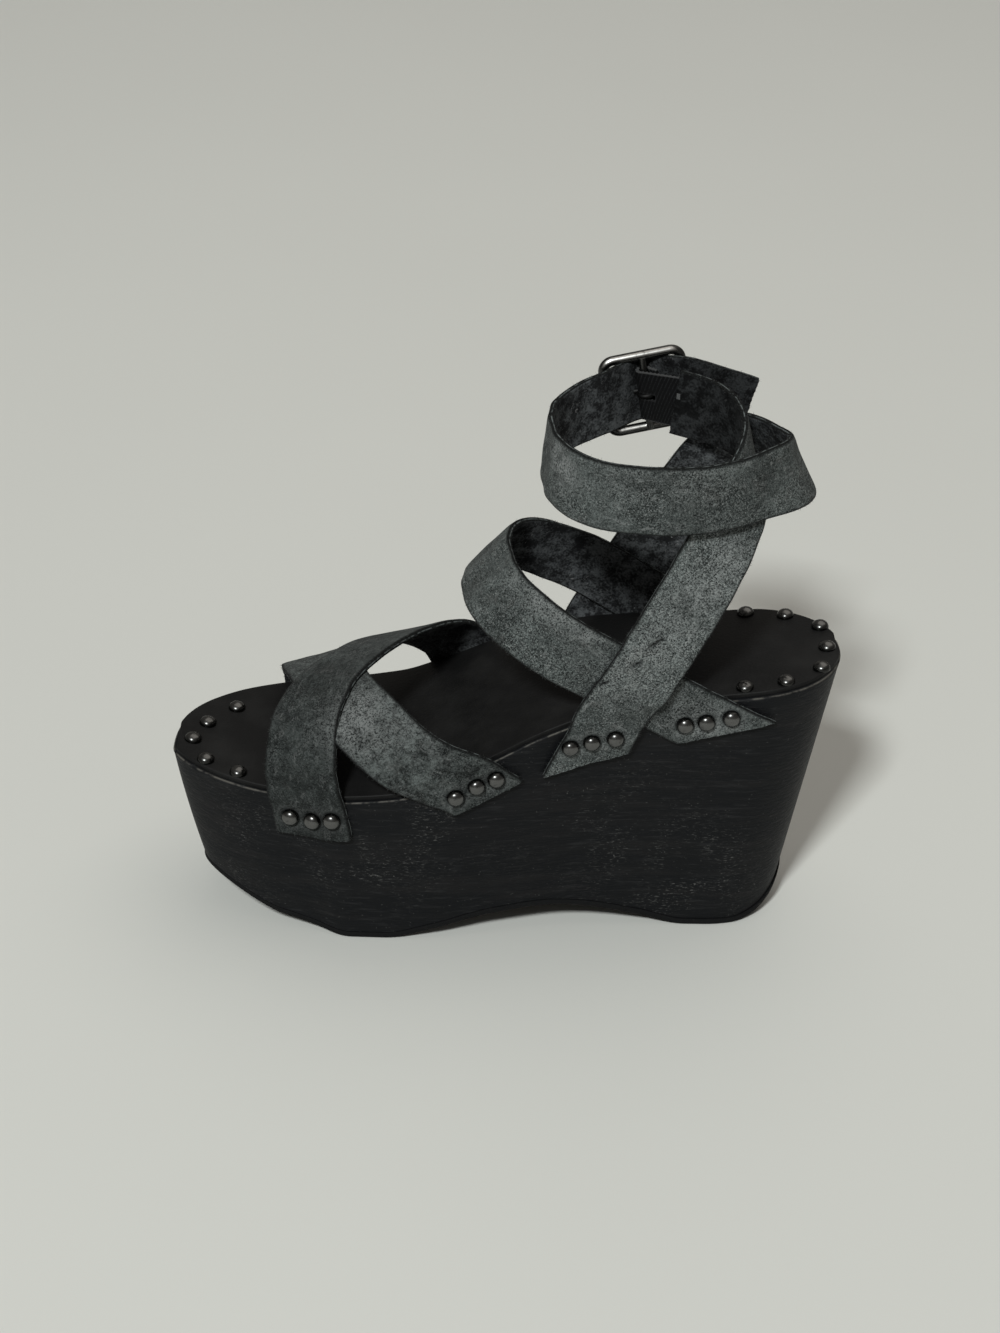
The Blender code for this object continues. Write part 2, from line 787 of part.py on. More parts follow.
def build_buckle(metal):
    """Rounded square frame with a sunk centre bar, and the prong hooked round that bar."""
    half_long = (BUCKLE_LENGTH - BUCKLE_WIRE) / 2
    half_high = (BUCKLE_HEIGHT - BUCKLE_WIRE) / 2
    corner_steps = 5
    path = []
    for quarter, (sign_long, sign_high) in enumerate(((1, 1), (-1, 1), (-1, -1), (1, -1))):
        corner_long = sign_long * (half_long - BUCKLE_CORNER)
        corner_high = sign_high * (half_high - BUCKLE_CORNER)
        for k in range(corner_steps):
            angle = math.pi / 2 * (quarter + k / (corner_steps - 1))
            path.append(buckle_point(corner_long + BUCKLE_CORNER * math.cos(angle), 0.0,
                                     corner_high + BUCKLE_CORNER * math.sin(angle)))
    frame = add_object("buckle_frame", tube("buckle_frame", path, BUCKLE_WIRE, closed=True), metal)
    bar_ends = [buckle_point(0.0, -BAR_SINK, up) for up in (-half_high, half_high)]
    bar = add_object("centre_bar_guide", tube("centre_bar_guide", bar_ends, BAR_DIAMETER), metal)
    combine(frame, bar, "UNION")

    hook = BAR_DIAMETER / 2 + GAP + PRONG_DIAMETER / 2
    hook_steps = 7
    points = []
    for k in range(hook_steps + 1):
        angle = math.radians(mix(*PRONG_TURN, k / hook_steps))
        points.append(buckle_point(hook * math.cos(angle), -BAR_SINK + hook * math.sin(angle), 0.0))
    rest = BUCKLE_WIRE / 2 + GAP + PRONG_DIAMETER / 2
    points.append(buckle_point(-half_long * PRONG_BEND[0], rest * PRONG_BEND[1], 0.0))
    points.append(buckle_point(-half_long - PRONG_REACH, rest, 0.0))
    add_object("buckle_prong", tube("buckle_prong", points, PRONG_DIAMETER, sides=1), metal)
    start, bend = points[-3:-1]
    return tube("prong_hole_guide", [start.lerp(bend, -PRONG_HOLE_LEAD), bend], PRONG_HOLE)


def build_elastic(material):
    """Elastic ribbon: sewn inside the inner ankle strap, round the centre bar and back on itself."""
    bar = buckle_point(0.0, -BAR_SINK, 0.0)
    bar_axis = buckle_point(0.0, -BAR_SINK, 1.0) - bar
    loop = BAR_DIAMETER / 2 + GAP + ELASTIC / 2
    path = []
    for x, y, z, facing, tilt in INNER_ANKLE[-2:]:
        inside = Vector((x, y, z)) - facing_normal(facing, tilt) * (WALL_GAP + ELASTIC / 2)
        path.append((inside, Vector((0.0, 0.0, 1.0))))
    steps = 10
    for k in range(steps + 1):
        angle = math.radians(mix(*ELASTIC_TURN, k / steps))
        turned = buckle_point(loop * math.cos(angle), loop * math.sin(angle) - BAR_SINK, 0.0)
        path.append((turned, bar_axis))
    path.append((path[-1][0] + ELASTIC_TAIL, bar_axis))
    shape = bmesh.new()
    rings = []
    for k, (point, axis) in enumerate(path):
        ahead = path[min(k + 1, len(path) - 1)][0] - path[max(k - 1, 0)][0]
        side = axis.cross(ahead).normalized() * ELASTIC / 2
        edge = axis * ELASTIC_WIDTH / 2
        corners = (point - side - edge, point + side - edge, point + side + edge, point - side + edge)
        rings.append([shape.verts.new(corner * MM) for corner in corners])
    for ring, ahead in zip(rings, rings[1:]):
        for k in range(4):
            shape.faces.new((ring[k], ring[(k + 1) % 4], ahead[(k + 1) % 4], ahead[k]))
    shape.faces.new(rings[0])
    shape.faces.new(rings[-1])
    ribbon = add_object("elastic_gore", finished_mesh("elastic_gore", shape), material)
    notch = bmesh.new()
    bmesh.ops.create_cube(notch, size=1.0)
    bmesh.ops.scale(notch, vec=ELASTIC_NOTCH * MM, verts=notch.verts)
    bmesh.ops.translate(notch, vec=(bar + ELASTIC_NOTCH_PLACE) * MM, verts=notch.verts)
    combine(ribbon, add_object("notch_guide", finished_mesh("notch_guide", notch)), "DIFFERENCE")


def main():
    """Build the sandal."""
    for old in list(bpy.data.objects):
        bpy.data.objects.remove(old, do_unlink=True)
    wood = finish_material("painted_wood", (0.012, 0.012, 0.013), 0.5)
    rubber = finish_material("black_rubber", (0.02, 0.02, 0.02), 0.75)
    insole_leather = finish_material("black_leather", (0.015, 0.015, 0.015), 0.55)
    suede = finish_material("grey_suede", (0.075, 0.085, 0.085), 0.9)
    gunmetal = finish_material("gunmetal", (0.25, 0.25, 0.25), 0.25, 1.0)
    webbing = finish_material("black_elastic", (0.012, 0.012, 0.012), 0.8)

    build_platform(wood)
    build_outsole(rubber)
    build_insole(insole_leather)

    over = forefoot_strap(OVER_STRAP, (MEDIAL, LATERAL))
    under = forefoot_strap(UNDER_STRAP, (LATERAL, MEDIAL))
    instep = instep_strap()
    inner = ankle_strap(INNER_ANKLE, MEDIAL)
    outer = ankle_strap(OUTER_ANKLE, LATERAL)
    outer.slants[1] = TIP_SLANT

    forefoot = add_object("forefoot_straps", over.mesh("forefoot_straps"), suede)
    combine(forefoot, add_object("under_guide", under.mesh("under_guide"), suede), "UNION")
    ankle = add_object("ankle_straps", outer.mesh("ankle_straps"), suede)
    combine(ankle, add_object("inner_guide", inner.mesh("inner_guide"), suede), "UNION")
    combine(ankle, add_object("instep_guide", instep.mesh("instep_guide"), suede), "UNION")

    hole = build_buckle(gunmetal)
    combine(ankle, add_object("prong_hole_guide", hole), "DIFFERENCE")
    build_elastic(webbing)

    stud = stud_mesh("stud")
    stud.materials.append(gunmetal)
    rows = (("over_front", over, 0, FRONT_STUDS, 1), ("over_rear", over, 1, REAR_STUDS, -1),
            ("under_front", under, 0, FRONT_STUDS, -1), ("under_rear", under, 1, REAR_STUDS, 1),
            ("instep_medial", instep, 0, INSTEP_STUDS, 1), ("instep_lateral", instep, 1, INSTEP_STUDS, 1),
            ("inner_ankle", inner, 0, ANKLE_STUDS, 1), ("outer_ankle", outer, 0, ANKLE_STUDS, -1))
    for row, strap, end, layout, turn in rows:
        for number, (seat, facing) in enumerate(strap.stud_places(end, layout, turn), 1):
            place_stud(f"stud_{row}_{number}", stud, seat, facing)
    for row, layout in (("toe", TOE_STUDS), ("heel", HEEL_STUDS)):
        for number, (x, y) in enumerate(layout, 1):
            place_stud(f"stud_{row}_{number}", stud, *footbed_stud_place(x, y))


main()
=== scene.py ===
"""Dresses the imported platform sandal: suede straps, stained wedge, domed studs, buckle and studio."""

import json
import logging
import math
from dataclasses import dataclass
from enum import IntEnum
from typing import Callable, Sequence

import bmesh
import bpy
from mathutils import Euler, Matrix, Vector, noise

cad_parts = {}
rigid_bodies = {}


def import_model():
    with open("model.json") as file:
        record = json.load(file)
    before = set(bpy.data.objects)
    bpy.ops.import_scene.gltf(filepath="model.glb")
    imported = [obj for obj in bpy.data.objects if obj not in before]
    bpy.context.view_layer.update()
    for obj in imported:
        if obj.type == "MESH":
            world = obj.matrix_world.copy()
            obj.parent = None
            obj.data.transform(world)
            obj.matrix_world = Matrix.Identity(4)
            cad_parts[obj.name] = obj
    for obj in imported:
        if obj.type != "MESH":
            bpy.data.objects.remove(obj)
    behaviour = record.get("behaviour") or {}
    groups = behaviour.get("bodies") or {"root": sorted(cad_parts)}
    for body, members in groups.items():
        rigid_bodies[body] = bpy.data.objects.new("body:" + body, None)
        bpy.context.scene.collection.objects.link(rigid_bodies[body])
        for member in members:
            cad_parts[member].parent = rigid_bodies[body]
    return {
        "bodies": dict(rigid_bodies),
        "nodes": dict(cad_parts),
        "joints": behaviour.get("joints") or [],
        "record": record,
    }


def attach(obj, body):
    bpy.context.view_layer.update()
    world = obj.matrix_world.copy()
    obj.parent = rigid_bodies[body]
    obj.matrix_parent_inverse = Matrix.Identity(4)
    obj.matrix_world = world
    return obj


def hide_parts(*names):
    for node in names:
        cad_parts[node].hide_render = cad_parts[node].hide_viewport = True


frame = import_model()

MM = 0.001
BODY = "root"
WIDTH_MIDDLE = Vector((0.0, 1.54, 0.0))
LOG = logging.getLogger("sandal")

Row = tuple[float, ...]
Table = tuple[Row, ...]
Colour = tuple[float, float, float]
Socket = bpy.types.NodeSocket
Material = bpy.types.Material
Seat = tuple[Vector, Vector]
StrapRow = tuple[Vector, Vector, float]


class Side(IntEnum):
    """Sides of a right shoe, as the sign of Y."""

    MEDIAL = -1
    LATERAL = 1


class Face(IntEnum):
    """Material slots of a strap."""

    SUEDE = 0
    FLESH = 1
    CUT = 2


def mix(low: float, high: float, share: float) -> float:
    """Straight blend of two values."""
    return low + (high - low) * share


def clamp(value: float, low: float = 0.0, high: float = 1.0) -> float:
    """Value held between two limits."""
    return min(max(value, low), high)


def through(rows: Table, place: float) -> list[float]:
    """Monotone cubic through a table.

    Args:
        rows: Table whose first column is the place.
        place: Where to read it.

    Returns:
        The other columns at that place.
    """
    place = clamp(place, rows[0][0], rows[-1][0])
    spot = 0
    while spot < len(rows) - 2 and place > rows[spot + 1][0]:
        spot += 1
    span = rows[spot + 1][0] - rows[spot][0]
    t = (place - rows[spot][0]) / span
    values = []
    for column in range(1, len(rows[0])):
        start = table_slope(rows, spot, column)
        finish = table_slope(rows, spot + 1, column)
        values.append((1 + 2 * t) * (1 - t) ** 2 * rows[spot][column] + t * (1 - t) ** 2 * span * start
                      + t * t * (3 - 2 * t) * rows[spot + 1][column] + t * t * (t - 1) * span * finish)
    return values


def table_slope(rows: Table, spot: int, column: int) -> float:
    """Slope of a table's monotone cubic at one row.

    Args:
        rows: The table.
        spot: Index of the row.
        column: Index of the column.

    Returns:
        The harmonic mean of the slopes on both sides.
    """
    def rise(index: int) -> float:
        """Slope from one row to the next."""
        return (rows[index + 1][column] - rows[index][column]) / (rows[index + 1][0] - rows[index][0])

    if spot == 0:
        return rise(0)
    if spot == len(rows) - 1:
        return rise(spot - 1)
    before = rise(spot - 1)
    after = rise(spot)
    return 2 * before * after / (before + after) if before * after > 0 else 0.0


def facing_normal(facing: float, tilt: float) -> Vector:
    """Unit vector of a direction.

    Args:
        facing: Compass direction in degrees, from +X towards +Y.
        tilt: Tilt above the horizon, in degrees.

    Returns:
        The unit vector.
    """
    around = math.radians(facing)
    up = math.radians(tilt)
    return Vector((math.cos(up) * math.cos(around), math.cos(up) * math.sin(around), math.sin(up)))


def to_metres(point: Vector) -> Vector:
    """Shoe point in millimetres as a point of the frame in metres."""
    return (point - WIDTH_MIDDLE) * MM


def finish_piece(name: str, source: bmesh.types.BMesh | bpy.types.Mesh, nodes: Sequence[str] = (),
                 materials: Sequence[Material] = (), smooth_angle: float = 40.0) -> bpy.types.Object:
    """Turn a shape or a mesh into a piece that rides on the shoe.

    Args:
        name: Name of the piece.
        source: Its geometry, in metres; a shape is freed here.
        nodes: CAD nodes that the piece stands for.
        materials: Materials of a shape by slot index; a mesh has its own.
        smooth_angle: Edges sharper than this stay crisp, in degrees.

    Returns:
        The new object.
    """
    mesh = source
    if isinstance(source, bmesh.types.BMesh):
        mesh = bpy.data.meshes.new(name)
        for material in materials:
            mesh.materials.append(material)
        source.to_mesh(mesh)
        source.free()
    mesh.shade_smooth()
    mesh.set_sharp_from_angle(angle=math.radians(smooth_angle))
    piece = bpy.data.objects.new(name, mesh)
    bpy.context.scene.collection.objects.link(piece)
    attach(piece, BODY)
    if nodes:
        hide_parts(*nodes)
    LOG.info("%s: %d faces", name, len(mesh.polygons))
    return piece


class NodeBench:
    """A node tree with short calls to add and join nodes."""

    def __init__(self, tree: bpy.types.NodeTree) -> None:
        """Take the tree to work on."""
        self.tree = tree

    def node(self, kind: str, feeds: dict[str | int, object] | None = None,
             **settings: object) -> bpy.types.Node:
        """Add a node.

        Args:
            kind: Blender's name of the node type.
            feeds: Outputs to link or plain values to set, by the name or number of the input.
            **settings: Properties of the node.

        Returns:
            The node.
        """
        made = self.tree.nodes.new(kind)
        for key, value in settings.items():
            setattr(made, key, value)
        for key, value in (feeds or {}).items():
            self.feed(made.inputs[key], value)
        return made

    def feed(self, socket: Socket, value: object) -> None:
        """Link an output to a socket, or set the socket to a plain value.

        Args:
            socket: Input that is fed.
            value: Output of another node, or a plain value.
        """
        if isinstance(value, Socket):
            self.tree.links.new(value, socket)
        else:
            socket.default_value = value

    def math(self, operation: str, first: object, second: object = 0.0) -> Socket:
        """Output of arithmetic on two values."""
        return self.node("ShaderNodeMath", {0: first, 1: second}, operation=operation).outputs[0]

    def times(self, first: object, second: object) -> Socket:
        """Output of the product of two values."""
        return self.math("MULTIPLY", first, second)

    def plus(self, first: object, second: object) -> Socket:
        """Output of the sum of two values."""
        return self.math("ADD", first, second)

    def band(self, value: object, low: float, high: float) -> Socket:
        """Output of a smooth step of a value, from 0 at low to 1 at high."""
        feeds = {"Value": value, "From Min": low, "From Max": high}
        return self.node("ShaderNodeMapRange", feeds, interpolation_type="SMOOTHSTEP").outputs["Result"]


class ShaderBench(NodeBench):
    """Node tree of one material."""

    def __init__(self, name: str) -> None:
        """Start a material.

        Args:
            name: Name of the material.
        """
        self.material = bpy.data.materials.new(name)
        self.material.use_nodes = True
        super().__init__(self.material.node_tree)
        self.shader = self.tree.nodes["Principled BSDF"]
        self.place = self.node("ShaderNodeTexCoord").outputs["Object"]

    def attribute(self, name: str) -> Socket:
        """Value that the mesh carries at each point."""
        return self.node("ShaderNodeAttribute", attribute_name=name).outputs["Fac"]

    def stretched(self, scale: tuple[float, float, float]) -> Socket:
        """Object coordinates stretched by a scale along each axis."""
        return self.node("ShaderNodeMapping", {"Vector": self.place, "Scale": scale}).outputs["Vector"]

    def noise(self, scale: float, detail: float = 2.0, roughness: float = 0.5,
              vector: Socket | None = None, swirl: float = 0.0) -> Socket:
        """Noise from 0 to 1.

        Args:
            scale: Features per metre.
            detail: Octaves.
            roughness: Weight of the finer octaves.
            vector: Coordinates, or None for the object's own.
            swirl: How far the noise is pulled out of shape.

        Returns:
            The noise value.
        """
        feeds = {"Vector": self.place if vector is None else vector, "Scale": scale, "Detail": detail,
                 "Roughness": roughness, "Distortion": swirl}
        return self.node("ShaderNodeTexNoise", feeds).outputs["Fac"]

    def blend(self, factor: object, first: object, second: object) -> Socket:
        """Blend of two colours, with a factor from 0 for the first to 1 for the second."""
        low, high = ((*colour, 1.0) if isinstance(colour, tuple) else colour for colour in (first, second))
        return self.node("ShaderNodeMix", {0: factor, 6: low, 7: high}, data_type="RGBA").outputs[2]

    def scale(self, colour: Socket, factor: Socket) -> Socket:
        """Colour made lighter or darker by a factor."""
        return self.node("ShaderNodeVectorMath", {0: colour, "Scale": factor}, operation="SCALE").outputs[0]

    def bump(self, height: Socket, depth: float, strength: float = 1.0,
             under: Socket | None = None) -> Socket:
        """Normal of a fine relief.

        Args:
            height: Relief from 0 to 1.
            depth: Real height of the relief, in metres.
            strength: Share of it that shows.
            under: Normal of a coarser relief below it.

        Returns:
            The normal.
        """
        feeds = {"Strength": strength, "Distance": depth, "Height": height}
        if under is not None:
            feeds["Normal"] = under
        return self.node("ShaderNodeBump", feeds).outputs["Normal"]

    def set(self, **values: object) -> Material:
        """Feed the shader's sockets.

        Args:
            **values: Values or outputs by socket name, with _ for a space.

        Returns:
            The material.
        """
        for key, value in values.items():
            socket = self.shader.inputs[key.replace("_", " ")]
            self.feed(socket, (*value, 1.0) if isinstance(value, tuple) and len(value) == 3 else value)
        return self.material


@dataclass(frozen=True)
class Suede:
    """Distressed charcoal suede: salt-and-pepper nap, pale rubbed patches, black pits and dark rims."""

    shade: Colour = (0.012, 0.0142, 0.0140)
    nap: Colour = (0.165, 0.187, 0.184)
    grit: Colour = (0.235, 0.25, 0.246)
    rubbed: Colour = (0.25, 0.262, 0.262)
    rust: Colour = (0.085, 0.080, 0.078)
    pit: Colour = (0.004, 0.0045, 0.0045)
    grain: float = 1650.0
    mottle: float = 240.0
    cloud: float = 55.0

    def material(self) -> Material:
        """Make the material.

        Returns:
            The material.
        """
        bench = ShaderBench("suede")
        cloud = bench.noise(self.cloud, 3.0)
        mottle = bench.noise(self.mottle, 4.0, 0.6)
        grain = bench.noise(self.grain, 2.0, 0.6, swirl=0.6)
        fine = bench.noise(self.grain * 2.1, 1.0)
        roughened = bench.plus(bench.times(bench.band(cloud, 0.34, 0.66), 0.8), 0.55)
        grit = bench.times(bench.attribute("grit"), roughened)
        speck = bench.math("SUBTRACT", bench.plus(grain, bench.times(fine, 0.6)), 0.8)
        speck = bench.times(bench.times(speck, 1.75), grit)
        patch = bench.noise(self.mottle * 2.4, 3.0, 0.65, swirl=1.0)
        blotch = bench.plus(bench.band(mottle, 0.34, 0.66), bench.band(patch, 0.36, 0.64))
        blotch = bench.times(bench.math("SUBTRACT", blotch, 1.0), 0.36)
        blotch = bench.times(blotch, bench.attribute("blotch"))
        drift = bench.times(bench.band(bench.noise(38.0, 3.0), 0.36, 0.64), 0.20)
        tone = bench.plus(bench.plus(speck, blotch), bench.plus(drift, 0.36))
        tone = bench.math("MAXIMUM", tone, 0.0)
        colour = bench.blend(bench.math("POWER", tone, 1.6), self.shade, self.nap)
        rust = bench.times(bench.band(bench.noise(130.0, 3.0), 0.56, 0.72), 0.45)
        colour = bench.blend(bench.times(rust, bench.band(grain, 0.40, 0.60)), colour, self.rust)
        rub = bench.times(bench.attribute("rub"), bench.band(mottle, 0.22, 0.58))
        pale = bench.times(rub, bench.band(grain, 0.36, 0.60))
        colour = bench.blend(pale, colour, self.rubbed)
        place = bench.node("ShaderNodeUVMap", uv_map="strap").outputs["UV"]
        course = bench.node("ShaderNodeVectorMath", {0: place, 1: (0.45, 1.0, 1.0)}, operation="MULTIPLY")
        streak = bench.band(bench.noise(420.0, 4.0, 0.7, course.outputs[0], swirl=0.5), 0.53, 0.68)
        streak = bench.times(bench.times(streak, bench.band(grain, 0.34, 0.56)), 0.50)
        colour = bench.blend(streak, colour, self.rubbed)
        grains = bench.band(bench.noise(self.grain * 1.1, 1.0, swirl=0.5), 0.60, 0.70)
        grains = bench.times(bench.times(grains, grit), 0.65)
        colour = bench.blend(grains, colour, self.grit)
        pits = bench.band(bench.noise(self.grain * 0.7, 3.0, 0.65, swirl=2.0), 0.60, 0.70)
        pits = bench.times(bench.times(pits, bench.band(grit, 1.35, 2.2)), 0.85)
        colour = bench.blend(pits, colour, self.pit)
        # the tone mark holds painted shade round the stud seats and in creases and cracks, besides each
        # strap's own tone and its darkening towards the ends
        colour = bench.scale(colour, bench.attribute("tone"))
        rim = bench.times(bench.band(bench.attribute("edge"), 0.58, 0.95), 0.85)
        colour = bench.blend(rim, colour, self.pit)
        coarse = bench.bump(mottle, 0.0007, 0.6)
        nap = bench.bump(grain, 0.0005, 0.7, coarse)
        return bench.set(Base_Color=colour, Normal=nap, Roughness=0.95, Specular_IOR_Level=0.10,
                         Sheen_Weight=0.04, Sheen_Roughness=0.5)


@dataclass(frozen=True)
class Flesh:
    """Dark rough underside of the straps, with scars and bare spots."""

    deep: Colour = (0.012, 0.0125, 0.0135)
    light: Colour = (0.105, 0.112, 0.118)
    bare: Colour = (0.26, 0.26, 0.265)

    def material(self) -> Material:
        """Make the material.

        Returns:
            The material.
        """
        bench = ShaderBench("strap_underside")
        patch = bench.noise(170.0, 4.0, 0.65)
        fibre = bench.noise(1200.0, 2.0, 0.6)
        tone = bench.plus(bench.times(patch, 0.6), bench.times(fibre, 0.4))
        colour = bench.blend(bench.band(tone, 0.40, 0.64), self.deep, self.light)
        scar = bench.band(bench.noise(120.0, 4.0, 0.7), 0.55, 0.62)
        colour = bench.blend(bench.times(scar, 0.85), colour, self.deep)
        spot = bench.times(bench.band(bench.noise(800.0, 2.0), 0.64, 0.72),
                           bench.band(bench.noise(60.0, 2.0), 0.50, 0.62))
        colour = bench.blend(bench.times(spot, 0.7), colour, self.bare)
        # partly painted shade: the underside tone mark falls towards the finish of the ankle straps, inside
        # the ankle loop
        colour = bench.scale(colour, bench.attribute("lining_and_shade"))
        relief = bench.bump(fibre, 0.0004, 0.6, bench.bump(patch, 0.0008, 0.6))
        return bench.set(Base_Color=colour, Normal=relief, Roughness=0.95, Specular_IOR_Level=0.12)


@dataclass(frozen=True)
class CutEdge:
    """Raw edge of two glued layers of leather, with a paler line between them."""

    core: Colour = (0.0080, 0.0085, 0.0085)
    fibre: Colour = (0.042, 0.047, 0.047)
    glue: Colour = (0.165, 0.185, 0.186)

    def material(self) -> Material:
        """Make the material.

        Returns:
            The material.
        """
        bench = ShaderBench("strap_cut_edge")
        fray = bench.noise(1100.0, 3.0, 0.7)
        colour = bench.blend(bench.band(fray, 0.52, 0.75), self.core, self.fibre)
        from_middle = bench.math("ABSOLUTE", bench.math("SUBTRACT", bench.attribute("layer"), 0.5))
        seam = bench.math("SUBTRACT", 1.0, bench.band(from_middle, 0.06, 0.20))
        broken = bench.band(bench.noise(420.0, 3.0), 0.38, 0.60)
        colour = bench.blend(bench.times(seam, broken), colour, self.glue)
        return bench.set(Base_Color=colour, Normal=bench.bump(fray, 0.0003, 0.7), Roughness=0.95,
                         Specular_IOR_Level=0.12)


@dataclass(frozen=True)
class StainedWood:
    """Black stained wood: fine lengthwise grain, short scuffs and dust, and a rubbed rim."""

    stain: Colour = (0.0040, 0.0046, 0.0058)
    brown: Colour = (0.0080, 0.0080, 0.0088)
    line: Colour = (0.030, 0.0302, 0.032)
    scuff: Colour = (0.11, 0.109, 0.107)
    rim: Colour = (0.125, 0.118, 0.105)

    def material(self) -> Material:
        """Make the material.

        Returns:
            The material.
        """
        bench = ShaderBench("stained_wood")
        lengthwise = bench.stretched((0.09, 0.4, 1.0))
        grain = bench.noise(950.0, 3.0, 0.6, lengthwise)
        broad = bench.noise(170.0, 3.0, 0.6, lengthwise)
        colour = bench.blend(bench.band(broad, 0.42, 0.70), self.stain, self.brown)
        colour = bench.blend(bench.times(bench.band(grain, 0.52, 0.74), 0.4), colour, self.line)
        worn = bench.times(bench.band(bench.noise(45.0, 4.0, 0.6), 0.44, 0.60), bench.attribute("scuff"))
        dash = bench.noise(2600.0, 3.0, 0.6, bench.stretched((0.20, 0.5, 1.0)))
        dash = bench.times(bench.band(dash, 0.57, 0.68), worn)
        dust = bench.times(bench.band(bench.noise(1000.0, 1.0), 0.73, 0.77),
                           bench.plus(bench.times(worn, 0.7), 0.3))
        marks = bench.math("MAXIMUM", bench.times(dash, 0.75), dust)
        colour = bench.blend(marks, colour, self.scuff)
        rim = bench.times(bench.attribute("rim"), bench.band(bench.noise(230.0, 3.0), 0.38, 0.58))
        colour = bench.blend(rim, colour, self.rim)
        sheen = bench.plus(bench.times(grain, 0.30), 0.40)
        relief = bench.bump(grain, 0.0006, 0.7)
        return bench.set(Base_Color=colour, Roughness=sheen, Normal=relief, Specular_IOR_Level=0.15)


@dataclass(frozen=True)
class InsoleLeather:
    """Smooth black leather with a fine grain and soft scuffing."""

    dye: Colour = (0.0070, 0.0070, 0.0072)
    worn: Colour = (0.0140, 0.0138, 0.0138)

    def material(self) -> Material:
        """Make the material.

        Returns:
            The material.
        """
        bench = ShaderBench("insole_leather")
        pebble = bench.node("ShaderNodeTexVoronoi", {"Vector": bench.place, "Scale": 900.0},
                            feature="SMOOTH_F1")
        cloud = bench.noise(45.0, 4.0, 0.6)
        colour = bench.blend(bench.band(cloud, 0.38, 0.72), self.dye, self.worn)
        gloss = bench.plus(bench.times(cloud, 0.25), 0.42)
        relief = bench.bump(pebble.outputs["Distance"], 0.0002, 0.4)
        return bench.set(Base_Color=colour, Roughness=gloss, Normal=relief, Specular_IOR_Level=0.14)


@dataclass(frozen=True)
class SoleRubber:
    """Matte rubber sheet, dusty and grey where it is worn."""

    rubber: Colour = (0.0060, 0.0062, 0.0068)
    dust: Colour = (0.055, 0.053, 0.050)

    def material(self) -> Material:
        """Make the material.

        Returns:
            The material.
        """
        bench = ShaderBench("sole_rubber")
        grime = bench.band(bench.noise(620.0, 4.0, 0.7), 0.50, 0.70)
        colour = bench.blend(bench.times(grime, bench.attribute("worn")), self.rubber, self.dust)
        tread = bench.noise(1100.0, 1.0)
        return bench.set(Base_Color=colour, Roughness=0.85, Normal=bench.bump(tread, 0.0003, 0.4),
                         Specular_IOR_Level=0.15)


@dataclass(frozen=True)
class Gunmetal:
    """Polished black nickel with faint handling marks and a painted highlight on its crests."""

    name: str = "gunmetal"
    metal: Colour = (0.050, 0.050, 0.049)
    tarnish: Colour = (0.028, 0.028, 0.027)
    haze: float = 0.22
    painted_highlight: Colour = (0.135, 0.135, 0.133)

    def material(self) -> Material:
        """Make the material.

        Returns:
            The material.
        """
        bench = ShaderBench(self.name)
        cloud = bench.noise(420.0, 3.0, 0.6)
        colour = bench.blend(bench.band(cloud, 0.42, 0.78), self.metal, self.tarnish)
        gloss = bench.plus(bench.times(cloud, 0.10), self.haze)
        # painted highlight: the crest mark, broken by the handling marks, paints the metal pale
        crest = bench.times(bench.attribute("crest"), bench.band(cloud, 0.20, 0.45))
        colour = bench.blend(crest, colour, self.painted_highlight)
        return bench.set(Base_Color=colour, Roughness=gloss, Metallic=1.0)


@dataclass(frozen=True)
class Webbing:
    """Black ribbed elastic with a paler selvage; its rib crests are paler from lint and painted highlight."""

    yarn: Colour = (0.0035, 0.0036, 0.0040)
    # pale colour of the rib crests, partly painted highlight
    crest: Colour = (0.019, 0.020, 0.022)
    selvage: Colour = (0.075, 0.076, 0.078)
    rib_pitch: float = 1.25

    def material(self) -> Material:
        """Make the material.

        Returns:
            The material.
        """
        bench = ShaderBench("elastic_webbing")
        yarn = bench.noise(2600.0, 2.0)
        turns = bench.times(bench.attribute("run"), 2 * math.pi / (self.rib_pitch * MM))
        # painted highlight mixed with lint: rib crests are painted paler where the yarn noise lets them
        crest = bench.times(bench.band(bench.math("SINE", turns), 0.55, 1.0), bench.band(yarn, 0.36, 0.60))
        colour = bench.blend(crest, self.yarn, self.crest)
        colour = bench.blend(bench.times(bench.attribute("selvage"), 0.8), colour, self.selvage)
        return bench.set(Base_Color=colour, Roughness=0.8, Normal=bench.bump(yarn, 0.0002, 0.5),
                         Specular_IOR_Level=0.15)


@dataclass(frozen=True)
class Thread:
    """Waxed sewing thread."""

    name: str = "tack_thread"
    dye: Colour = (0.060, 0.062, 0.064)
    light: Colour = (0.17, 0.172, 0.175)

    def material(self) -> Material:
        """Make the material.

        Returns:
            The material.
        """
        bench = ShaderBench(self.name)
        twist = bench.noise(4000.0, 1.0)
        return bench.set(Base_Color=bench.blend(twist, self.dye, self.light), Roughness=0.6)


@dataclass(frozen=True)
class PaleFloor:
    """Plain pale floor."""

    tone: Colour = (0.70, 0.705, 0.68)
    shade: Colour = (0.67, 0.675, 0.65)

    def material(self) -> Material:
        """Make the material.

        Returns:
            The material.
        """
        bench = ShaderBench("pale_floor")
        return bench.set(Base_Color=bench.blend(bench.noise(3.0, 2.0), self.tone, self.shade), Roughness=0.7,
                         Specular_IOR_Level=0.25)


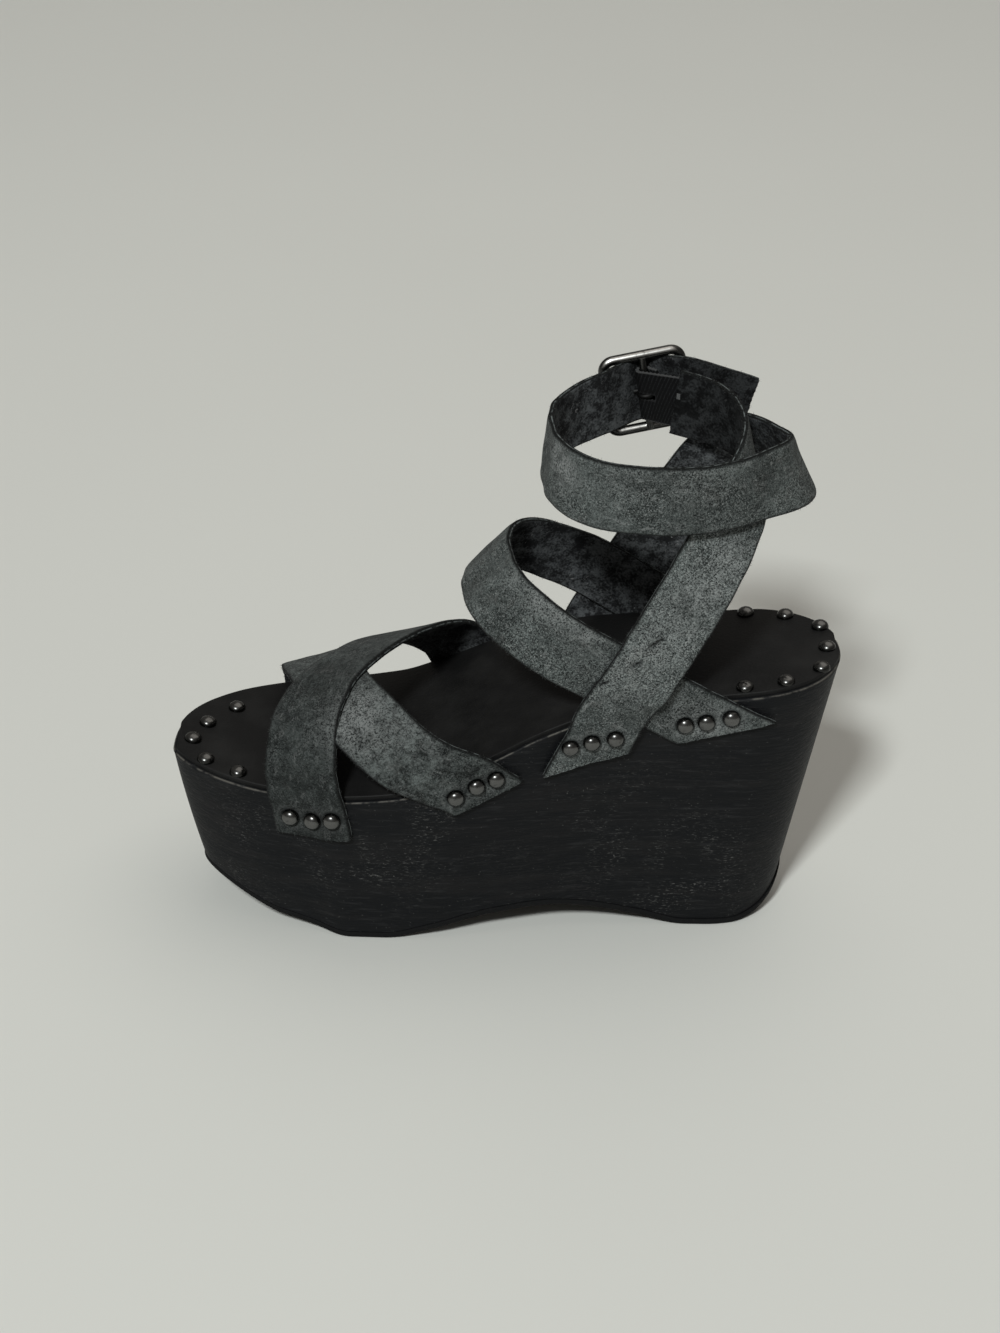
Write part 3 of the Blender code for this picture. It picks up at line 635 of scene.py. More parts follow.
@dataclass(frozen=True)
class Last:
    """The form that the shoe is made on: outline, footbed, tread, walls and forefoot, in millimetres.

    The rounds hold length and power on the medial and lateral side, and the tips y at toe and heel. The
    outline holds x and both edges, the top edge and underside x and z, and the forefoot x, ridge and crown.
    """

    length: float = 246.0
    outsole: float = 2.7
    gap: float = 0.3
    wall_gap: float = 0.45
    toe_round: Table = ((61.0, 2.24), (45.0, 2.4))
    heel_round: Table = ((34.0, 2.1), (34.0, 2.1))
    tips: Row = (-12.8, 0.25)
    toe_rake: float = 11.0
    heel_rake: float = 14.0
    toe_bulge: float = 0.6
    toe_inset: float = 1.0
    heel_inset: float = 5.0
    medial_power: float = 2.6
    lateral_power: float = 1.7
    outline: Table = (
        (-123.0, -33.6, 29.5), (-95.0, -38.3, 36.2), (-75.0, -40.4, 41.1), (-60.0, -44.0, 44.0),
        (-30.0, -44.0, 47.0), (0.0, -40.0, 45.0), (35.0, -34.0, 39.0), (75.0, -31.0, 34.0),
        (123.0, -30.5, 31.0))
    top_edge: Table = (
        (-123.0, 65.0), (-105.0, 62.6), (-85.0, 61.6), (-60.0, 62.2), (-40.0, 64.2), (-22.0, 71.0),
        (-4.0, 80.5), (14.0, 89.5), (35.0, 96.5), (60.0, 101.0), (80.0, 103.5), (100.0, 106.3),
        (123.0, 109.0))
    underside: Table = (
        (-113.0, 17.0), (-104.0, 13.6), (-93.0, 9.2), (-84.0, 5.9), (-75.0, 4.0), (-67.0, 2.1),
        (-60.0, 0.5), (-54.0, 0.0), (-42.0, 0.0), (-24.0, 4.6), (-3.0, 9.6), (16.0, 11.2), (30.0, 10.0),
        (54.0, 4.6), (72.0, 0.0), (90.0, 0.0), (98.0, 2.0), (105.0, 7.0), (110.0, 16.0))
    forefoot: Table = (
        (-95.0, -11.0, 82.0), (-76.0, -11.0, 89.5), (-50.0, -11.0, 99.5), (-30.0, -9.0, 105.0),
        (0.0, -6.0, 115.0))

    def footbed(self, x: float) -> float:
        """Height of the wedge's top edge."""
        return through(self.top_edge, x)[0]

    def tread(self, x: float) -> float:
        """Height of the outsole's underside."""
        return through(self.underside, x)[0]

    def share(self, x: float) -> float:
        """Place along the shoe, from 0 at the toe to 1 at the heel."""
        return x / self.length + 0.5

    def end_share(self, x: float, side: Side) -> float:
        """Share of one side's full width left by the round toe and heel.

        Args:
            x: Place along the shoe.
            side: Side of the shoe.

        Returns:
            The share, from 0 at the tips to 1.
        """
        share = 1.0
        column = 0 if side == Side.MEDIAL else 1
        ends = ((x + self.length / 2, self.toe_round), (self.length / 2 - x, self.heel_round))
        for near_end, rows in ends:
            length, power = rows[column]
            if near_end < length:
                share *= max(0.0, 1 - (1 - near_end / length) ** power) ** (1 / power)
        return share

    def edge(self, x: float, side: Side, inset: float = 0.0) -> float:
        """Sideways place of the footbed's edge.

        Args:
            x: Place along the shoe.
            side: Side of the shoe.
            inset: How far the edge is drawn in.

        Returns:
            The place, in millimetres.
        """
        medial, lateral = through(self.outline, x)
        tip_line = mix(*self.tips, self.share(x))
        reach = abs((medial if side == Side.MEDIAL else lateral) - tip_line) * self.end_share(x, side)
        return tip_line + side * max(0.0, reach - inset)

    def rake(self, x: float) -> float:
        """How far the foot of the wall stands from below its top edge."""
        return mix(self.toe_rake, -self.heel_rake, self.share(x))

    def wall_foot(self, x: float) -> float:
        """Height of the wedge's underside below the top edge at x."""
        return self.tread(x + self.rake(x)) + self.outsole + self.gap

    def wall_point(self, x: float, drop: float, side: Side) -> Vector:
        """Point of the wedge's side.

        Args:
            x: Place on the top edge.
            drop: From 0 at the top edge to 1 at the foot.
            side: Side of the shoe.

        Returns:
            The point, in millimetres.
        """
        inset = mix(self.toe_inset, self.heel_inset, self.share(x)) * self.end_share(x, side)
        bulge = self.toe_bulge * max(0.0, 1 - 2 * self.share(x)) ** 2 * 4 * drop * (1 - drop)
        return Vector((x + self.rake(x) * drop - bulge, self.edge(x, side) - side * inset * drop,
                       mix(self.footbed(x), self.wall_foot(x), drop)))

    def wall_side(self, x: float, z: float, side: Side) -> float:
        """Sideways place of the wall; above the top edge it is the edge itself.

        Args:
            x: Place along the shoe.
            z: Height.
            side: Side of the shoe.

        Returns:
            The place, in millimetres.
        """
        top_x = x
        drop = 0.0
        for _ in range(6):
            top = self.footbed(top_x)
            drop = clamp((top - z) / (top - self.wall_foot(top_x)))
            top_x = x - self.rake(top_x) * drop
        return self.wall_point(top_x, drop, side).y

    def top_direction(self, x: float) -> Vector:
        """Direction of the top edge in side view."""
        nudge = 2.0
        return Vector((2 * nudge, 0.0, self.footbed(x + nudge) - self.footbed(x - nudge))).normalized()

    def forefoot_point(self, x: float, turn: float) -> Vector:
        """Point of the forefoot.

        Args:
            x: Place along the shoe.
            turn: 0 at the medial edge, 90 on the ridge, 180 at the lateral edge.

        Returns:
            The point, in millimetres.
        """
        ridge, crown = through(self.forefoot, x)
        side = Side.MEDIAL if turn < 90 else Side.LATERAL
        power = self.medial_power if turn < 90 else self.lateral_power
        angle = math.radians(turn)
        reach = abs(self.edge(x, side) + side * self.wall_gap - ridge)
        return Vector((x, ridge + side * reach * abs(math.cos(angle)) ** (2 / power),
                       mix(self.footbed(x), crown, math.sin(angle) ** (2 / power))))

    def forefoot_row(self, x: float, turn: float, lift: float) -> StrapRow:
        """Strap row on the forefoot.

        Args:
            x: Place along the shoe.
            turn: Turn over the forefoot, in degrees.
            lift: How far the strap lies off the last.

        Returns:
            Point, facing and lift.
        """
        nudge = 1.0
        along = self.forefoot_point(x + nudge, turn) - self.forefoot_point(x - nudge, turn)
        across = self.forefoot_point(x, turn + nudge) - self.forefoot_point(x, turn - nudge)
        facing = along.cross(across).normalized()
        return self.forefoot_point(x, turn) + facing * lift, facing, lift

    def wall_row(self, place: Row, side: Side, lift: float = 0.0) -> StrapRow:
        """Strap row on the wedge's wall.

        Args:
            place: Place along the shoe and height.
            side: Side of the shoe.
            lift: How far the strap lies off the wall.

        Returns:
            Point, facing and lift.
        """
        x, z = place
        nudge = 1.0
        slope_x = (self.wall_side(x + nudge, z, side) - self.wall_side(x - nudge, z, side)) / (2 * nudge)
        slope_z = (self.wall_side(x, z + nudge, side) - self.wall_side(x, z - nudge, side)) / (2 * nudge)
        facing = (Vector((-slope_x, 1.0, -slope_z)) * side).normalized()
        point = Vector((x, self.wall_side(x, z, side) + side * self.wall_gap, z))
        return point + facing * lift, facing, lift


class StrapPath:
    """Course of a flat strap: rows of (inner middle point, facing, lift) with slanted end cuts."""

    def __init__(self, last: Last, rows: Sequence[StrapRow], width: float) -> None:
        """Measure the course.

        Args:
            last: Form that the strap lies on.
            rows: Rows of point, facing and lift, from start to finish.
            width: Width of the strap.
        """
        self.last = last
        self.rows = list(rows)
        self.width = width
        self.hug_height = 6.0
        self.places = [0.0]
        for (point, _, _), (ahead, _, _) in zip(self.rows, self.rows[1:]):
            self.places.append(self.places[-1] + (ahead - point).length)
        self.length = self.places[-1]
        self.slants = [0.0, 0.0]

    def column(self, pick: Callable[[StrapRow], Vector | float], along: float) -> Vector | float:
        """Catmull-Rom curve through one column of the rows.

        Args:
            pick: Takes the column from a row.
            along: Distance from the start.

        Returns:
            The column's value there.
        """
        spot = 0
        while spot < len(self.rows) - 2 and along > self.places[spot + 1]:
            spot += 1
        span = self.places[spot + 1] - self.places[spot]
        t = (along - self.places[spot]) / span

        def slope(index: int) -> Vector | float:
            """Slope of the column at one row.

            Args:
                index: Index of the row.

            Returns:
                The slope per millimetre.
            """
            low = max(index - 1, 0)
            high = min(index + 1, len(self.rows) - 1)
            rise = pick(self.rows[high]) - pick(self.rows[low])
            return rise / (self.places[high] - self.places[low])

        return (pick(self.rows[spot]) * ((1 + 2 * t) * (1 - t) ** 2)
                + slope(spot) * (t * (1 - t) ** 2 * span)
                + pick(self.rows[spot + 1]) * (t * t * (3 - 2 * t))
                + slope(spot + 1) * (t * t * (t - 1) * span))

    def middle(self, along: float) -> Vector:
        """Middle line, carried on straight past the ends."""
        inside = clamp(along, 0.0, self.length)
        return self.column(lambda row: row[0], inside) + self.heading(inside) * (along - inside)

    def heading(self, along: float) -> Vector:
        """Direction of the middle line.

        Args:
            along: Distance from the start.

        Returns:
            Unit vector towards the finish.
        """
        nudge = 0.5
        low = clamp(along - nudge, 0.0, self.length)
        high = clamp(along + nudge, 0.0, self.length)
        return (self.column(lambda row: row[0], high) - self.column(lambda row: row[0], low)).normalized()

    def frame(self, along: float) -> tuple[Vector, Vector, Vector]:
        """Directions of the strap at one place.

        Args:
            along: Distance from the start.

        Returns:
            Heading, cross direction and facing.
        """
        inside = clamp(along, 0.0, self.length)
        heading = self.heading(inside)
        across = self.column(lambda row: row[1], inside).cross(heading).normalized()
        return heading, across, heading.cross(across)

    def slant_end(self, end: int, direction: Vector) -> None:
        """Cut one end, 0 at the start or 1 at the finish, along a direction that lies in the strap."""
        heading, across, _ = self.frame(self.length * end)
        self.slants[end] = direction.dot(heading) / direction.dot(across)

    def cuts(self, shift: float) -> tuple[float, float]:
        """Distances of the two end cuts from the start, at a shift across."""
        return self.slants[0] * shift, self.length + self.slants[1] * shift

    def surface(self, along: float, shift: float) -> tuple[Vector, Vector, float]:
        """Inner surface of the strap.

        Args:
            along: Distance from the start.
            shift: Distance across from the middle.

        Returns:
            Point, facing and how closely the strap hugs the wall there, from 0 to 1.
        """
        _, across, facing = self.frame(along)
        point = self.middle(along) + across * shift
        lift = self.column(lambda row: row[2], clamp(along, 0.0, self.length))
        side = Side.MEDIAL if point.y < 0 else Side.LATERAL
        hug = clamp((self.last.footbed(point.x) + self.hug_height - point.z) / self.hug_height)
        wall = self.last.wall_side(point.x, point.z, side) + side * (self.last.wall_gap + lift)
        point.y = mix(point.y, wall, hug)
        return point, facing, hug

    def stud_seats(self, end: int, thickness: float, layout: Table, turn: int) -> list[Seat]:
        """Seats of the studs at one end.

        Args:
            end: 0 at the start, 1 at the finish.
            thickness: Thickness of the strap.
            layout: Shift across the strap on the medial side and distance from the cut, for each stud.
            turn: -1 for a mirrored layout, otherwise 1.

        Returns:
            Seat and direction of each stud.
        """
        stretch = math.hypot(1.0, self.slants[end])
        seats = []
        for medial_shift, inset in layout:
            shift = medial_shift * turn
            back = inset * stretch / self.length
            share = 1 - back if end else back
            cuts = self.cuts(shift)
            along = mix(*cuts, share)
            nudge = (cuts[1] - cuts[0]) / self.length
            point, facing, _ = self.surface(along, shift)
            run = self.surface(along + nudge, shift)[0] - self.surface(along - nudge, shift)[0]
            before, after = (self.surface(mix(*self.cuts(place), share), place)[0]
                             for place in (shift - 1, shift + 1))
            upright = run.cross(after - before).normalized()
            seats.append((point + facing * thickness + upright * self.last.wall_gap, upright))
        return seats


@dataclass(frozen=True)
class Crease:
    """Soft trough between two places of a strap, with a low ridge on both sides and painted shade in it.

    A place is given as its distance from the strap's start and its shift across the strap, in millimetres.
    """

    start: Row
    finish: Row
    depth: float = 0.35
    width: float = 2.6
    # painted shade: share of the tone lost in the trough
    shade: float = 0.12
    ridge: float = 0.4
    ridge_reach: float = 1.9
    ridge_width: float = 0.8

    def mark(self, along: float, shift: float) -> tuple[float, float]:
        """What the crease does at a place of the strap.

        Args:
            along: Distance from the strap's start.
            shift: Distance across from its middle.

        Returns:
            How far the leather is pressed in, in millimetres, less than 0 on the ridges, and how much of its
            tone is lost to painted shade in the trough.
        """
        start = Vector(self.start)
        run = Vector(self.finish) - start
        from_start = Vector((along, shift)) - start
        share = clamp(from_start.dot(run) / run.length_squared)
        reach = (from_start - run * share).length / self.width
        trough = math.exp(-reach ** 2)
        ridge = self.ridge * math.exp(-((reach - self.ridge_reach) / self.ridge_width) ** 2)
        return self.depth * (trough - ridge), self.shade * trough


@dataclass(frozen=True)
class Crack(Crease):
    """Short crack in the face of the leather, darkened by painted shade."""

    depth: float = 0.4
    width: float = 0.75
    # painted shade: the crack is painted nearly black
    shade: float = 0.9


@dataclass(frozen=True)
class StudWearAndShade:
    """Marks that a stud leaves in the leather and its painted shade, by distance from its seat in
    millimetres.
    """

    reach: float = 14.0
    nap_loss: float = 0.6
    nap_radius: float = 8.0
    dent: float = 0.4
    dent_radius: float = 4.4
    halo: float = 0.32
    halo_radius: float = 4.9
    halo_width: float = 0.9
    # painted shade: how dark the leather is painted right round the seat
    shade: float = 0.75
    painted_shade_radius: float = 3.7


@dataclass(frozen=True)
class Hide:
    """How one strap's leather differs from the others.

    The tone, grit and blotches are those of its face, the underside tones are those at the start and at the
    finish, their fall towards the finish being painted shade inside the ankle loop, and the flare widens its
    start.
    """

    tone: float = 1.0
    grit: float = 0.85
    blotch: float = 0.6
    end_shade: float = 0.08
    fray: float = 0.45
    lining_and_shade: Row = (0.8, 0.8)
    flare: float = 0.0
    creases: tuple[Crease, ...] = ()


@dataclass
class Strap:
    """One strap: its name, course, CAD node and leather, and where its unevenness is read."""

    name: str
    path: StrapPath
    node: str
    hide: Hide
    seed: float


@dataclass
class StrapSet:
    """Upper: two crossed forefoot straps, the instep strap and the two ankle straps.

    The rates are noise features per millimetre, and the other sizes are millimetres or shares. Forefoot rows
    hold x, turn and lift, instep rows x, medial y, lateral y, z, forward turn and tilt, and ankle rows x, y,
    z, facing and tilt. Strap ends hold x and z of the cut and of a place above it, studs their shift across
    and distance from the cut, and worn spots x, y, z, radius and amount.
    """

    last: Last
    thickness: float = 2.4
    forefoot_width: float = 26.6
    ankle_width: float = 25.4
    fuse: float = 0.3
    wall_lift: float = 1.3
    tip_slant: float = 0.06
    step: float = 1.1
    face_columns: int = 25
    seed_step: float = 3.1
    bevel: float = 0.7
    rim_width: float = 3.0
    rim_soft: float = 0.30
    sway: float = 0.28
    sway_rate: float = 0.12
    fray_rate: float = 0.75
    edge_apart: float = 4.0
    end_apart: float = 9.0
    flare_reach: float = 26.0
    hug_calm: float = 0.8
    end_reach: float = 16.0
    lining_from: float = 70.0
    lining_over: float = 45.0
    texture_step: float = 0.2
    stud_wear_and_shade: StudWearAndShade = StudWearAndShade()
    unevenness: Table = ((0.45, 0.035, 0.05), (0.18, 0.13, 0.16))
    unevenness_step: float = 7.0
    marks: tuple[str, ...] = ("rub", "edge", "layer", "tone", "grit", "blotch", "lining_and_shade")
    over_hide: Hide = Hide(
        tone=0.57, grit=0.7, blotch=0.55, end_shade=0.28, fray=0.8, flare=0.11,
        creases=(Crease((25.0, -11.0), (23.5, 12.0)), Crease((54.0, -9.0), (60.0, 6.0), 0.45, 4.0),
                 Crease((68.0, -4.0), (71.0, 12.0), 0.35, 3.0)))
    under_hide: Hide = Hide(
        tone=0.71, grit=0.75, blotch=1.15,
        creases=(Crease((141.0, -12.0), (145.5, 11.0)), Crease((112.0, -12.0), (115.0, 3.0), 0.4, 3.5),
                 Crack((152.2, 4.0), (152.6, 8.6))))
    instep_hide: Hide = Hide(
        tone=0.83, grit=1.15, blotch=0.6, end_shade=0.0,
        creases=(Crease((112.0, -12.0), (114.0, 9.0), 0.45, 4.0), Crease((46.0, -9.0), (44.0, 11.0)),
                 Crease((128.0, -7.0), (127.0, 12.0), 0.4, 3.5)))
    inner_hide: Hide = Hide(
        tone=1.14, grit=1.3, blotch=0.4, lining_and_shade=(0.5, 0.28),
        creases=(Crease((23.0, -11.0), (19.5, 12.0)), Crack((55.2, 3.9), (59.6, 1.8)),
                 Crack((46.5, 5.3), (48.5, 3.6)), Crack((33.5, 11.0), (35.6, 9.8)),
                 Crease((104.0, -9.0), (108.0, 11.0), 0.45, 4.0)))
    outer_hide: Hide = Hide(
        tone=0.89, grit=1.25, blotch=0.5, lining_and_shade=(1.0, 0.3),
        creases=(Crease((268.0, -10.0), (270.0, 11.0), 0.4, 3.5), Crease((282.0, -12.0), (280.0, 6.0)),
                 Crease((23.0, -12.0), (19.5, 11.0)), Crease((158.0, -11.0), (156.0, 12.0), 0.5, 4.0)))
    front_studs: Table = ((-8.8, 9.1), (-1.0, 7.7), (7.5, 8.0))
    rear_studs: Table = ((-5.9, 8.6), (1.9, 7.8), (8.4, 6.8))
    instep_studs: Table = ((-7.0, 6.2), (-1.0, 6.9), (3.8, 7.9))
    ankle_studs: Table = ((-4.8, 8.7), (2.7, 9.7), (9.1, 9.8))
    instep_cut: Row = (1.0, 0.0, 0.27)
    over_rows: Table = (
        (-73.0, 8.0, 0.0), (-73.5, 25.0, 0.6), (-72.5, 50.0, 1.6), (-69.5, 70.0, 2.1), (-64.0, 88.0, 2.1),
        (-56.5, 100.0, 2.1), (-49.0, 111.0, 2.1), (-40.0, 124.0, 1.4), (-30.0, 142.0, 0.6),
        (-20.0, 163.0, 0.0))
    under_rows: Table = (
        (-72.0, 172.0, 0.0), (-72.5, 156.0, 0.0), (-72.0, 138.0, 0.0), (-70.0, 118.0, 0.0),
        (-66.0, 99.0, 0.0), (-60.5, 74.0, 0.0), (-50.0, 46.0, 0.0), (-38.5, 24.0, 0.0), (-27.0, 9.0, 0.0))
    front_end: Table = ((-68.3, 46.6), (-70.7, 59.2))
    rear_end: Table = ((-6.0, 65.5), (-15.0, 72.5))
    ankle_end: Table = ((29.0, 78.2), (33.0, 88.2))
    instep_end: Table = ((79.5, 90.8), (65.5, 98.3))
    instep_rows: Table = (
        (50.0, -33.4, 37.6, 107.5, 0.0, 3.0), (32.0, -34.0, 39.0, 117.5, 3.0, 5.0),
        (16.0, -32.0, 36.5, 125.5, 12.0, 12.0), (5.0, -27.5, 31.0, 131.5, 27.0, 22.0),
        (-2.2, -21.0, 24.0, 135.0, 42.0, 30.0), (-6.9, -11.5, 14.5, 137.4, 62.0, 37.0))
    instep_crown: Row = (-8.6, 1.5, 138.2, 180.0, 40.0)
    inner_rows: Table = (
        (37.5, -36.4, 99.0, -90.0, 0.0), (45.0, -37.4, 113.0, -90.0, 3.0), (54.0, -36.6, 131.0, -90.0, 6.0),
        (63.5, -34.0, 150.0, -88.0, 10.0), (72.0, -28.8, 168.0, -75.0, 14.0),
        (78.5, -20.0, 181.0, -50.0, 16.0), (81.5, -8.0, 187.5, -20.0, 16.0), (81.0, 4.0, 189.5, 10.0, 14.0),
        (77.5, 15.0, 190.5, 35.0, 10.0), (71.5, 23.5, 191.0, 58.0, 4.0), (64.0, 28.5, 191.4, 72.0, 0.0),
        (57.0, 30.8, 192.0, 78.0, 0.0))
    outer_rows: Table = (
        (37.5, 41.1, 99.0, 90.0, 0.0), (45.0, 41.3, 113.0, 90.0, 3.0), (54.0, 39.8, 131.0, 90.0, 6.0),
        (63.5, 37.0, 150.0, 88.0, 10.0), (74.0, 33.3, 169.0, 76.0, 15.0), (83.5, 26.5, 180.0, 60.0, 22.0),
        (91.0, 15.0, 184.0, 42.0, 26.0), (97.5, 4.0, 185.0, 16.0, 27.0), (99.5, -5.5, 186.0, -20.0, 25.0),
        (93.5, -15.0, 187.0, -50.0, 14.0), (85.5, -21.5, 187.0, -56.0, 8.0), (74.0, -29.5, 187.0, -62.0, 4.0),
        (60.0, -35.3, 187.0, -78.0, 3.0), (45.0, -36.7, 187.0, -90.0, 3.0),
        (29.0, -33.8, 187.0, -105.0, 3.0), (19.5, -26.5, 187.2, -130.0, 3.0),
        (13.4, -15.5, 187.5, -158.0, 3.0), (11.6, -3.0, 187.7, -180.0, 3.0), (12.8, 8.5, 188.0, -202.0, 3.0),
        (17.5, 18.0, 188.4, -225.0, 3.0), (24.0, 25.3, 189.2, -240.0, 3.0), (32.4, 30.1, 191.0, -245.0, 2.0),
        (39.3, 35.4, 192.2, -240.0, 0.0), (46.2, 40.4, 193.0, -262.0, 0.0), (53.0, 38.4, 194.0, -280.0, 0.0),
        (60.5, 35.4, 195.0, -276.0, 0.0), (73.0, 35.8, 191.5, -270.0, 0.0), (84.6, 35.2, 188.0, -268.0, 0.0))
    worn_spots: Table = (
        (-56.5, -38.0, 90.5, 9.0, 1.2), (-52.5, -31.0, 97.0, 8.5, 0.8), (-47.0, -38.0, 90.0, 9.0, 0.35),
        (-36.0, -40.5, 94.0, 7.0, 0.4), (-24.0, -45.0, 87.0, 6.0, 0.3), (13.2, -20.5, 195.0, 5.0, 1.0),
        (15.4, -25.0, 191.0, 6.0, 1.0), (1.2, -19.1, 145.6, 5.0, 0.5), (10.1, -28.1, 141.0, 5.5, 0.8),
        (18.7, -32.2, 137.0, 6.0, 0.9), (27.4, -34.7, 131.5, 6.0, 0.8), (75.0, -32.2, 163.0, 9.0, 0.5),
        (65.0, -36.6, 149.0, 12.0, 0.45), (52.0, -39.1, 130.0, 12.0, 0.4), (41.0, -39.7, 112.0, 9.0, 0.35),
        (60.0, -37.0, 197.0, 12.0, 0.3), (36.0, -39.0, 196.0, 10.0, 0.3), (-56.0, 40.0, 84.0, 10.0, 0.6),
        (62.0, 40.0, 150.0, 13.0, 0.5), (84.0, 29.0, 184.0, 9.0, 0.5), (18.7, 37.0, 137.0, 7.0, 0.6),
        (64.0, -35.0, 100.0, 9.0, 0.5), (74.0, -35.0, 93.0, 9.0, 0.55))

    def __post_init__(self) -> None:
        """Lay out the five courses."""
        self.over = self.forefoot_path(self.over_rows, Side.MEDIAL, Side.LATERAL)
        self.under = self.forefoot_path(self.under_rows, Side.LATERAL, Side.MEDIAL)
        self.instep = self.instep_path()
        self.inner = self.ankle_path(self.inner_rows, Side.MEDIAL)
        self.outer = self.ankle_path(self.outer_rows, Side.LATERAL)
        self.outer.slants[1] = self.tip_slant

    def forefoot_path(self, rows: Table, front: Side, rear: Side) -> StrapPath:
        """Forefoot strap from its front end to its rear end.

        Args:
            rows: Rows over the forefoot.
            front: Side of the front end.
            rear: Side of the rear end.

        Returns:
            The course.
        """
        start = [self.last.wall_row(place, front) for place in self.front_end]
        finish = [self.last.wall_row(place, rear) for place in reversed(self.rear_end)]
        path = [self.last.forefoot_row(*row) for row in rows]
        strap = StrapPath(self.last, start + path + finish, self.forefoot_width)
        strap.slant_end(0, self.last.top_direction(self.front_end[0][0]))
        strap.slant_end(1, self.last.top_direction(self.rear_end[0][0]))
        return strap

    def instep_path(self) -> StrapPath:
        """Instep strap from the medial wall over the instep to the lateral wall.

        Returns:
            The course.
        """
        def half(side: Side) -> list[StrapRow]:
            """Rows from one wall up to the crown.

            Args:
                side: Side of the wall.

            Returns:
                The rows.
            """
            rows = [self.last.wall_row(place, side) for place in self.instep_end]
            for x, medial, lateral, z, forward, tilt in self.instep_rows:
                point = Vector((x, medial if side == Side.MEDIAL else lateral, z))
                rows.append((point, facing_normal(side * (90 + forward), tilt), 0.0))
            return rows

        crown = (Vector(self.instep_crown[:3]), facing_normal(*self.instep_crown[3:]), 0.0)
        rows = half(Side.MEDIAL) + [crown] + half(Side.LATERAL)[::-1]
        strap = StrapPath(self.last, rows, self.ankle_width)
        for end in (0, 1):
            strap.slant_end(end, Vector(self.instep_cut))
        return strap

    def ankle_path(self, rows: Table, side: Side) -> StrapPath:
        """Ankle strap from the arch's wall up and round the ankle.

        Args:
            rows: Rows round the ankle.
            side: Side of the cut end.

        Returns:
            The course.
        """
        cut, above = self.ankle_end
        path = [self.last.wall_row(cut, side), self.last.wall_row(above, side, self.wall_lift)]
        for x, y, z, facing, tilt in rows:
            path.append((Vector((x, y, z)), facing_normal(facing, tilt), self.thickness - self.fuse))
        strap = StrapPath(self.last, path, self.ankle_width)
        strap.slant_end(0, self.last.top_direction(cut[0]))
        return strap

    def stud_seats(self) -> list[Seat]:
        """Seats of the studs on all strap ends.

        Returns:
            Seat and direction of each stud.
        """
        ends = ((self.over, 0, self.front_studs, 1), (self.over, 1, self.rear_studs, -1),
                (self.under, 0, self.front_studs, -1), (self.under, 1, self.rear_studs, 1),
                (self.instep, 0, self.instep_studs, 1), (self.instep, 1, self.instep_studs, 1),
                (self.inner, 0, self.ankle_studs, 1), (self.outer, 0, self.ankle_studs, -1))
        seats = []
        for path, end, layout, turn in ends:
            seats += path.stud_seats(end, self.thickness, layout, turn)
        return seats

    def section(self, width: float) -> list[tuple[float, float, Face]]:
        """Cross-section of a strap.

        Args:
            width: Width of the strap.

        Returns:
            Points round the section: shift across, height above the inner face, and the finish of the
            stretch that follows each point.
        """
        half = width / 2
        flat = half - self.bevel
        t = self.thickness
        inner = [(mix(-flat, flat, k / (self.face_columns - 1)), 0.0, Face.FLESH)
                 for k in range(self.face_columns)]
        side = [(half - 0.25, 0.08, Face.CUT), (half, 0.40, Face.CUT), (half + 0.02, t * 0.42, Face.CUT),
                (half - 0.22, t * 0.50, Face.CUT), (half + 0.02, t * 0.58, Face.CUT),
                (half, t - 0.45, Face.CUT), (half - 0.22, t - 0.10, Face.SUEDE)]
        outer = [(-shift, t, Face.SUEDE) for shift, _, _ in inner]
        other = [(-shift, t - height, face) for shift, height, face in side]
        inner[-1] = (*inner[-1][:2], Face.CUT)
        other[0] = (*other[0][:2], Face.CUT)
        other[-1] = (*other[-1][:2], Face.FLESH)
        return inner + side + outer + other

    def relief(self, along: float, shift: float, seed: float) -> float:
        """Soft unevenness of worn leather.

        Args:
            along: Distance from the strap's start.
            shift: Distance across from its middle.
            seed: Where the noise is read.

        Returns:
            The height, in millimetres.
        """
        height = 0.0
        for number, (depth, along_rate, shift_rate) in enumerate(self.unevenness):
            layer = seed + self.unevenness_step * number
            height += depth * noise.noise(Vector((along * along_rate, shift * shift_rate, layer)))
        return height

    def wear_and_shade(self, place: Vector, studs: Sequence[Seat]) -> tuple[float, float, float, float]:
        """Marks that use has left on a strap, and painted shade round its studs.

        Args:
            place: Point of the strap's surface.
            studs: Seats of the studs near the strap.

        Returns:
            How far the leather is pressed down, in millimetres, how pale it is rubbed, how much of its tone
            is left beside the studs after their painted shade, and how much of its nap is left there.
        """
        wear_and_shade = self.stud_wear_and_shade
        dent = 0.0
        rub = sum(amount * math.exp(-((place - Vector(spot)).length / radius) ** 2)
                  for *spot, radius, amount in self.worn_spots)
        tone = 1.0
        nap = 1.0
        for spot, _ in studs:
            reach = (place - spot).length
            if reach < wear_and_shade.reach:
                dent += wear_and_shade.dent * math.exp(-(reach / wear_and_shade.dent_radius) ** 4)
                rub += wear_and_shade.halo * math.exp(-((reach - wear_and_shade.halo_radius) / wear_and_shade.halo_width) ** 2)
                # painted shade round each stud's seat
                tone *= 1 - wear_and_shade.shade * math.exp(-(reach / wear_and_shade.painted_shade_radius) ** 8)
                nap = min(nap, 1 - wear_and_shade.nap_loss * math.exp(-(reach / wear_and_shade.nap_radius) ** 2))
        return dent, clamp(rub), tone, nap

